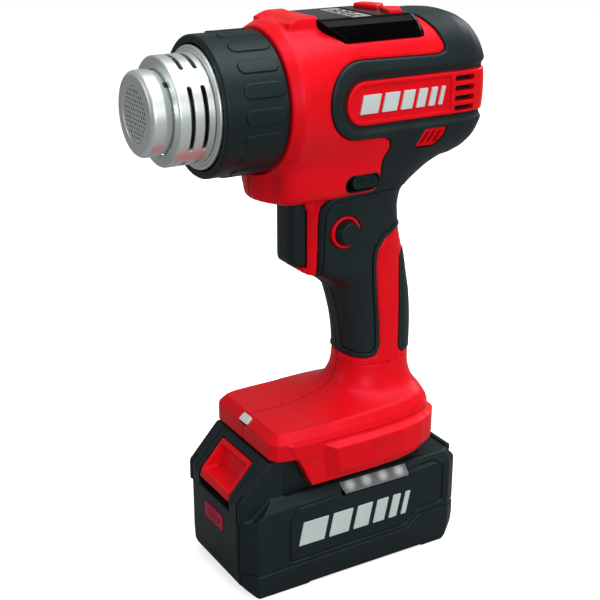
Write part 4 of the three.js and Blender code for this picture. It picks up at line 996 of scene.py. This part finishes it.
def sleeve(x, y, z):
    r, t = polar(x, z)
    d = rmax(r - 28.2, -103.2 - y, 0.8)
    d = rmax(d, y + 83.7, 0.1)
    d = rmax(d, -np.maximum(r - 27.0, -102.0 - y), 0.2)
    d = np.maximum(d, -(r - 21.6))
    k = np.mod(t + math.pi / 4, math.pi / 2) - math.pi / 4
    for yc in (-95.8, -88.4):
        s = slot_d(k * 28, y, 0, yc, 17.0, 1.15)
        d = rmax(d, -np.maximum(s, 24 - r), 0.18)
    return d


def flange(x, y, z):
    r, t = polar(x, z)
    d = rmax(r - 31.8, -83.4 - y, 0.7)
    d = rmax(d, y + 81.6, 0.1)
    groove = np.maximum(0.5 - np.abs(r - 29.6), 0) * 0.7
    return np.maximum(d, 21.2 - r) + np.where(y < -82.6, groove, 0)


def collar(x, y, z):
    r, t = polar(x, z)
    d = rmax(r - 36.9, -81.9 - y, 1.3)
    d = rmax(d, y + 46.5, 0.8)
    n = 18
    k = (np.mod(t, 2 * math.pi / n) - math.pi / n) * 37
    pad = slot_d(y, k, -60.0, 0, 11.4, 3.75)
    pad = rmax(pad, r - 37.65, 0.35)
    pad = np.maximum(pad, 35.5 - r)
    d = rmin(d, pad, 0.15)
    bore = np.where(y < -77, 32.6, 32.6 + 2.3 * np.clip((y + 77.9) / 2.0, 0, 1))
    return rmax(d, bore - r, 0.7)


A = AXIS_Z
field_piece("outlet_cap_shell", cap, [-23, -116.0, A - 23], [23, -92.4, A + 23], 0.45, "housing", M["steel"], 0.55, ["outlet_cap"], "satin_steel")
field_piece("outlet_screen", screen, [-15, -115.2, A - 15], [15, -113.8, A + 15], 0.22, "housing", M["steel"], 0.6, ["outlet_mesh"], "satin_steel", rounds=1, crumbs=0)
field_piece("shield_sleeve", sleeve, [-29.2, -104.2, A - 29.2], [29.2, -83.0, A + 29.2], 0.5, "housing", M["steel"], 0.5, ["heat_shield_sleeve"], "satin_steel")
field_piece("shield_flange", flange, [-32.8, -84.4, A - 32.8], [32.8, -81.0, A + 32.8], 0.45, "housing", M["steel"], 0.5, ["flange_ring"], "satin_steel")
field_piece("collar_ring", collar, [-38.6, -83, A - 38.6], [38.6, -45.8, A + 38.6], 0.55, "collar_body", M["dark"], 0.5, ["collar"], "soft_grip")


# ---------------------------------------------------------------- trigger, button, slider, window
M_TRIG = Mask(TRIGGER, (-40, 180), (-15, 232), 0.6, 0.2)


def trigger(x, y, z):
    nose = superellipse(x, y + 20, 10.4, 11.2, 3.4)
    d = rmax(M_TRIG(y, z), np.where(y < -20, nose, np.abs(x) - 10.4), 1.9)
    d = rmax(d, (y + 22.6) * 0.7 + (z - 226.2 + 2.2) * 0.7, 1.0)
    back = box_d(x, y, z, (0, -19.5, 204.5), (7.8, 4.2, 14.2), 0.8)
    # a pocket for the spring, with a round post in the middle
    round_ = np.hypot(x, z - 205)
    back = rmax(back, -np.maximum(round_ - 5.2, -18.7 - y), 0.3)
    post = np.maximum(rmax(round_ - 2.6, y + 12.5, 0.4), -20 - y)
    return np.minimum(rmin(d, back, 0.4), post)


field_piece("trigger_blade", trigger, [-11.5, -33, 184.5], [11.5, -11.5, 228], 0.45, "trigger_body", M["dark"], 0.4, ["trigger"], "dark_plastic")


def side_button(x, y, z):
    r = np.hypot(y + 1.5, z - 205.5)
    d = rmax(r - 6.35 - 0.14 * np.clip(25.5 - x, 0, 5), x - 25.5, 0.9)
    d = rmax(d, 14.6 - x, 0.3)
    return d + 0.3 * np.exp(-((r / 4.5) ** 2)) * (x > 20)


def side_bezel(x, y, z):
    r = np.hypot(y + 1.5, z - 205.5)
    d = rmax(r - 9.2, x - 20.3, 0.8)
    d = rmax(d, 16.4 - x, 0.2)
    return rmax(d, -np.maximum(r - 7.4, -9.0 + 0 * x), 0.4)


field_piece("side_button_cap", side_button, [13.6, -9.6, 197.2], [26.6, 6.6, 213.8], 0.35, "side_button_body", M["dark"], 0.5, ["side_button"], "dark_plastic")
field_piece("side_button_ring", side_bezel, [15.6, -12, 195], [21.2, 9, 216], 0.35, "housing", M["red"], 0.5, ["side_button_bezel"], "red_plastic")


def line_d(u, v, ax, ay, bx, by):
    t = np.clip(((u - ax) * (bx - ax) + (v - ay) * (by - ay)) / ((bx - ax) ** 2 + (by - ay) ** 2), 0, 1)
    return np.hypot(u - ax - t * (bx - ax), v - ay - t * (by - ay))


def slider_sign(u, v):
    """Three chevrons and an open padlock."""
    d = np.full(u.shape, 9.0)
    for i in range(3):
        c = 1.6 + i * 1.9
        d = np.minimum(d, line_d(u, v, c, 1.6, c + 1.4, 0.0))
        d = np.minimum(d, line_d(u, v, c + 1.4, 0.0, c, -1.6))
    body = np.abs(np.maximum(np.abs(u - 11.2) - 1.35, np.abs(v + 0.7) - 1.0))
    loop = np.abs(np.hypot(u - 9.5, v - 1.0) - 1.1)
    loop = np.where(v > 0.6, loop, 9.0)
    return np.minimum(np.minimum(d, body), loop)


def slider(x, y, z):
    d = rmax(slot_d(y, z, 6.75, 234.3, 8.25, 4.1), x - 25.6, 0.8)
    d = rmax(d, 18.2 - x, 0.2)
    sign = slider_sign(y + 0.2, z - 234.3)
    return d + np.where(x > 24.6, np.clip(0.34 - sign, 0, 0.34) * 1.3, 0)


def slot_liner(x, y, z):
    d = np.maximum(slot_d(y, z, SLOT_C, 234.3, SLOT_H + 0.55, 4.95), body_form(x, y, z, barrel_raw(x, y, z), handle_raw(x, y, z)) + 0.2)
    d = np.maximum(d, 16.6 - x)
    return rmax(d, -np.maximum(slot_d(y, z, SLOT_C, 234.3, SLOT_H, 4.4), 17.7 - x), 0.1)


field_piece("slider_slot_liner", slot_liner, [15.8, -8.2, 228.6], [29, 16.8, 240], 0.3, "housing", M["dark"], 0.45, slot="dark_plastic")
field_piece("slider_key", slider, [17.4, -2.4, 229.4], [26.4, 16, 239.4], 0.24, "lock_slider_body", M["dark"], 0.45, ["lock_slider"], "dark_plastic", normal_eps=0.06)


def window(x, y, z):
    c, s = math.cos(-0.87), math.sin(-0.87)
    wy, wz = (y + 54.8) * c + (z - 96.3) * s, -(y + 54.8) * s + (z - 96.3) * c
    d = rmax(np.abs(x) - 4.4, np.abs(wz) - 2.6, 1.1)
    return rmax(d, np.abs(wy) - 1.75, 0.4)


field_piece("work_light_window", window, [-5.4, -59, 91], [5.4, -50, 101], 0.3, "housing", M["white"], 0.5, ["work_light_lens"], "clear_lens")


def screw(cy, cz, cx):
    def f(x, y, z):
        r = np.hypot(y - cy, z - cz)
        depth = x - cx  # the head faces -X, so deeper is larger
        d = rmax(r - 3.05, -(depth + 2.6), 0.35)
        d = rmax(d, depth + 0.3, 0.1)
        k = np.mod(np.arctan2(z - cz, y - cy), math.pi / 3) - math.pi / 6
        star = r - (1.35 + 0.28 * np.cos(6 * (k + math.pi / 6)))
        return rmax(d, -np.maximum(star, depth + 1.3), 0.1)

    return f


for i, (sy, sz, sx) in enumerate(SEATS):
    field_piece(f"screw_{i + 1}", screw(sy, sz, sx), [sx - 3.4, sy - 4, sz - 4], [sx + 0.3, sy + 4, sz + 4], 0.26, "housing", M["zinc"], 0.5, [f"housing_screw_{i + 1}"], "zinc_screw")


# ---------------------------------------------------------------- battery
M_LATCH = Mask([[-77.4, 57.6], [-76.4, 62.6], [-61.6, 79.2], [-58, 76.4], [-64.4, 57.6]], (-84, 50), (-50, 85), 0.5, 0.2)
M_SCOOP = Mask([[-86, 64.4], [-73.2, 62.9], [-66.4, 62.6], [-62.4, 74.4], [-70, 84], [-86, 82]], (-90, 50), (-50, 90), 0.8, 0.2)
M_WELL = Mask([[-90, 52.2], [-90, 74], [-76.4, 63.4], [-61.8, 79.8], [-56.8, 76.6], [-60.6, 58], [-60.6, 52.2]], (-90, 45), (-50, 90), 0.4, 0.2)
M_PANEL = Mask([[-48.1, 19.6], [-48.1, 45.5], [-41.5, 53.5], [54.2, 56.8], [58.6, 52.5], [58.6, 29.5], [40.6, 28.5], [32.1, 20.7]], (-60, 10), (70, 65), 1.2, 0.25)
SEAM_S = np.arange(-95, 95, 0.25)
SEAM_V = smooth1(np.interp(SEAM_S, [-90, 33, 41.5, 90], [16.4, 18.4, 25, 25]), 4)


def seam(y):
    return np.interp(y, SEAM_S, SEAM_V)


def pack_form(x, y, z, inset=0.0):
    p = M_PACK(x, y)
    d = rmax(p, (p + 0.842 * (z - 54.8)) / 1.307, 0.6)
    d = rmax(d, z - 60.5, 0.7)
    notch = np.minimum((y + 69) * -0.64 + (z - 51) * 0.768, z - 50.5)
    d = rmax(d, notch, 0.6)
    d = rmax(d, (p + (12 - z) * 0.16) / 1.013, 0.8)
    d = rmax(rmax(d, ((-y - 75.8) + (8.2 - z)) * 0.707, 1.2), ((y - 69.6) + (8.2 - z)) * 0.707, 1.2)
    return rmax(d + inset, inset - z, 1.2)


def nose(x, y, z, inset=0.0):
    d = rmax(np.abs(x) - 32.2, -77.2 - y, 1.4)
    d = rmax(d, (y + 75.6) * -0.743 + (z - 63.8) * 0.669, 0.8)
    d = rmax(d, z - 83.1, 0.6)
    return np.maximum(np.maximum(d, y + 49), 50 - z) + inset


def pack_inner(x, y, z):
    d = rmax(pack_form(x, y, z, 2.5), 0 * z - 50, 0)
    t = np.maximum(np.maximum(np.abs(x) - 27, np.abs(y + 5) - 48.6), np.maximum(z - 81, 50 - z))
    return np.minimum(d, t)


def upper_shell(x, y, z):
    d = rmin(pack_form(x, y, z), nose(x, y, z), 1.0)
    t = box_d(x, y, z, (0, -5, 68.6), (29.4, 51, 14.6), 0.8)
    d = rmin(d, t, 0.4)
    d = rmin(d, box_d(x, y, z, (0, 68.0, 59.6), (30.0, 1.5, 2.0), 0.6), 0.3)
    # grooves beside the front panel, the line of the side panel, the rim round the latch
    g = np.maximum(1.15 - np.abs(np.abs(x) - 28.6), 0) * np.where((y < -70) & (z > 14), 1.5, 0)
    g = g * np.clip((66.5 - z) / 1.5, 0, 1)
    pm = M_PANEL(y, z)
    g = g + np.where(np.abs(x) > 34, np.clip(0.85 - np.abs(pm), 0, 0.7) * 1.5, 0)
    slope = (y + 75.6) * -0.743 + (z - 63.8) * 0.669
    rim = np.maximum(0.7 - np.abs(np.abs(x) - 22.6), 0) * np.where((slope > -3) & (z > 57) & (z < 82), 1.3, 0)
    d = d + g + rim
    well = rmax(M_WELL(y, z), np.abs(x) - 18.9, 1.0)
    d = rmax(d, -well, 0.6)
    room = rmax(pack_inner(x, y, z), -(well - 2.0), 0.3)
    d = rmax(d, -room, 0.3)
    gb = rmax(np.abs(x) - 11.6, np.abs(z - 40) - 5.4, 0.8)
    d = rmax(d, -np.maximum(gb, y + 73.2), 0.35)
    led = np.maximum(np.maximum(np.abs(y - 10.4) - 23.5, 33.1 - x), 52.5 - z)
    d = rmax(d, -led, 0.25)
    for c in (-13, -5, 5, 13):
        d = np.maximum(d, -np.maximum(np.maximum(np.abs(x - c) - 1.3, np.abs(y - 30) - 20), 75 - z))
    zs = seam(y)
    return rmax(d, (zs + 0.25 - z) * 0.97, 0.5)


def lower_shell(x, y, z):
    d = pack_form(x, y, z) - 0.15
    d = rmax(d, -77.2 + 1.1 - y, 1.0)
    foot_cut = np.maximum(np.maximum(z - 1.2, -33.8 - y), y - 46)
    d = rmax(d, -foot_cut, 0.4)
    bevel = (M_PACK(x, y) - 0.15 + (z - seam(y) + 1.4)) * 0.707
    d = rmax(d, bevel, 0.3)
    g = np.maximum(1.15 - np.abs(np.abs(x) - 28.6), 0) * np.where((y < -66) & (z > 6), 1.3, 0)
    d = d + g
    d = rmax(d, -pack_inner(x, y, z), 0.3)
    return rmax(d, (z - seam(y) - 0.05) * 0.97, 0.4)


def latch(x, y, z):
    d = rmax(M_LATCH(y, z), np.abs(x) - 18.35, 1.6)
    sc = rmax(M_SCOOP(y, z), np.abs(x) - 15.6, 1.8)
    d = rmax(d, -sc, 1.1)
    arc = y - 0.006 * x * x
    wave = np.zeros(x.shape)
    for i in range(4):
        wave = np.maximum(wave, 0.42 - 0.8 * np.abs(arc + 74.4 - 2.0 * i))
    wave = np.where((np.abs(x) < 13.2) & (z > 60) & (z < 66.0), np.maximum(wave, 0), 0)
    return d - wave


def gauge_sign(u, v):
    d = np.abs(rmax(np.abs(u) - 6.0, np.abs(v) - 2.6, 0.7))
    d = np.minimum(d, np.abs(np.maximum(np.abs(u - 6.9) - 0.7, np.abs(v) - 1.0)))
    for c in (-3.2, 0.0, 3.2):
        d = np.minimum(d, np.maximum(np.abs(u - c) - 0.55, np.abs(v) - 1.4))
    return d


def gauge(x, y, z):
    d = rmax(np.abs(x) - 11.2, np.abs(z - 40) - 5.0, 0.9)
    d = rmax(d, (x * 0.78 + (z - 45) * 0.62 - 9.6 * 0.78), 0.6)
    d = rmax(rmax(d, -77.9 - y, 0.6), y + 74.0, 0.2)
    sign = gauge_sign(x, z - 40.0)
    return d + np.where(y < -77.0, np.clip(0.36 - sign, 0, 0.36) * 1.5, 0)


def led_lens(x, y, z):
    d = rmin(pack_form(x, y, z), pack_form(x, y, z), 0) + 0.12
    d = rmax(d, np.abs(y - 10.4) - 23.2, 0.4)
    d = rmax(d, (y + 12.8) * -0.83 + (z - 60.3) * -0.4 - 1.0, 0.3)
    bumps = 0.35 * np.exp(-(((np.mod(y + 0.9, 11.4) - 5.7) / 3.0) ** 2))
    return rmax(rmax(d, 33.5 - x, 0.3), 53.2 - z, 0.4) - 0 * bumps


field_piece("pack_upper", upper_shell, [-40, -79.5, 13], [40, 73, 85], 0.62, "battery_body", M["dark"], 0.3, ["battery_upper_shell"], "dark_plastic")
field_piece("pack_lower", lower_shell, [-40, -79.5, -1.5], [40, 73, 28], 0.72, "battery_body", M["dark"], 0.3, ["battery_lower_shell"], "dark_plastic")
field_piece("latch_key", latch, [-19.4, -79, 56], [19.4, -56.5, 81], 0.4, "latch_body", M["red"], 0.4, ["battery_latch"], "red_plastic")
field_piece("gauge_key", gauge, [-12.2, -79, 34], [12.2, -73, 46], 0.28, "gauge_body", M["crimson"], 0.45, ["gauge_button"], "crimson_plastic", normal_eps=0.06)
field_piece("gauge_lens", led_lens, [32.6, -14, 52], [39, 35, 61.5], 0.4, "battery_body", M["led"], 0.5, ["led_lens"], "clear_lens")


def pack_mark(x, y, z):
    return rmax(bars(y, z, -42.5, 28.6, 43.2, [17, 13.5, 10.5, 8, 5.6, 3.6], 3.2, 0.22), np.abs(np.abs(x) - 38.0) - 0.45, 0.2)


for s, n in ((1, "left"), (-1, "right")):
    lo_x, hi_x = (37.0, 39.0) if s > 0 else (-39.0, -37.0)
    field_piece("pack_mark_" + n, pack_mark, [lo_x, -44, 27], [hi_x, 46, 46], 0.36, "battery_body", M["mark"], 0.3, slot="dark_plastic")

# ---------------------------------------------------------------- carried-over inner nodes
CAD_LOOK = {
    "mica_tube": "mica", "heater_former": "ceramic", "heating_coil": "zinc", "thermocouple": "steel", "front_bulkhead": "dark",
    "fan_motor": "motor", "motor_mount": "dark", "control_board": "board", "display_board": "board", "trigger_switch": "dark",
    "trigger_spring": "steel", "terminal_block": "dark", "fan_impeller": "dark", "motor_shaft": "steel", "cell_row_lower": "cell",
    "cell_row_upper": "cell", "protection_board": "board", "pack_terminals": "brass", "led_board": "board",
}
for node, look in CAD_LOOK.items():
    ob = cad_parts[node]
    ob.data.materials.clear()
    ob.data.materials.append(M[look])

# ---------------------------------------------------------------- stage
floor_me = bpy.data.meshes.new("floor")
floor_me.from_pydata([(-6, -6, -0.0002), (6, -6, -0.0002), (6, 6, -0.0002), (-6, 6, -0.0002)], [], [(0, 1, 2, 3)])
floor = bpy.data.objects.new("floor", floor_me)
floor_me.materials.append(M["floor"])
bpy.context.scene.collection.objects.link(floor)
floor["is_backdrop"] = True

world = bpy.data.worlds.new("studio")
world.use_nodes = True
wt = world.node_tree
wt.nodes["Background"].inputs[0].default_value = (1.0, 1.0, 1.0, 1)
ray, level = wt.nodes.new("ShaderNodeLightPath"), wt.nodes.new("ShaderNodeMapRange")
wt.links.new(ray.outputs["Is Camera Ray"], level.inputs["Value"])
level.inputs["To Min"].default_value, level.inputs["To Max"].default_value = 0.30, 0.96
wt.links.new(level.outputs["Result"], wt.nodes["Background"].inputs[1])
bpy.context.scene.world = world
bpy.context.scene.view_settings.view_transform = "Standard"


def area(name, loc, target, size, power, color=(1, 1, 1), size_y=None):
    l = bpy.data.lights.new(name, "AREA")
    l.energy, l.color, l.size = power, color, size
    if size_y:
        l.shape, l.size_y = "RECTANGLE", size_y
    o = bpy.data.objects.new(name, l)
    o.location = loc
    o.rotation_euler = (Vector(target) - Vector(loc)).to_track_quat("-Z", "Y").to_euler()
    bpy.context.scene.collection.objects.link(o)
    return o


area("top", (0.25, 0.25, 1.45), (0, 0, 0.2), 1.2, 17)
area("side", (1.35, -0.05, 0.62), (0, 0, 0.2), 0.7, 8)
area("front", (-0.5, -1.4, 0.7), (0, 0, 0.2), 0.8, 2.5)
area("rear", (-0.4, 1.3, 0.9), (0, 0, 0.2), 0.7, 5)

cam_data = bpy.data.cameras.new("camera")
cam_data.lens, cam_data.sensor_width = 73.9, 36.0
cam_data.clip_start, cam_data.clip_end = 0.01, 50
cam = bpy.data.objects.new("camera", cam_data)
bpy.context.scene.collection.objects.link(cam)
az, el = math.radians(59.49), math.radians(20.75)
back = Vector((math.sin(az) * math.cos(el), -math.cos(az) * math.cos(el), math.sin(el)))
cam.location = (0.56374, -0.33768, 0.41063)
q = (-back).to_track_quat("-Z", "Y")
cam.rotation_mode = "QUATERNION"
cam.rotation_quaternion = q
bpy.context.scene.camera = cam

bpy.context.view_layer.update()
print(f"scene built in {time.time() - T0:.1f} s, {sum(len(o.data.polygons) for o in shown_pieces() if o.type == 'MESH')} faces")
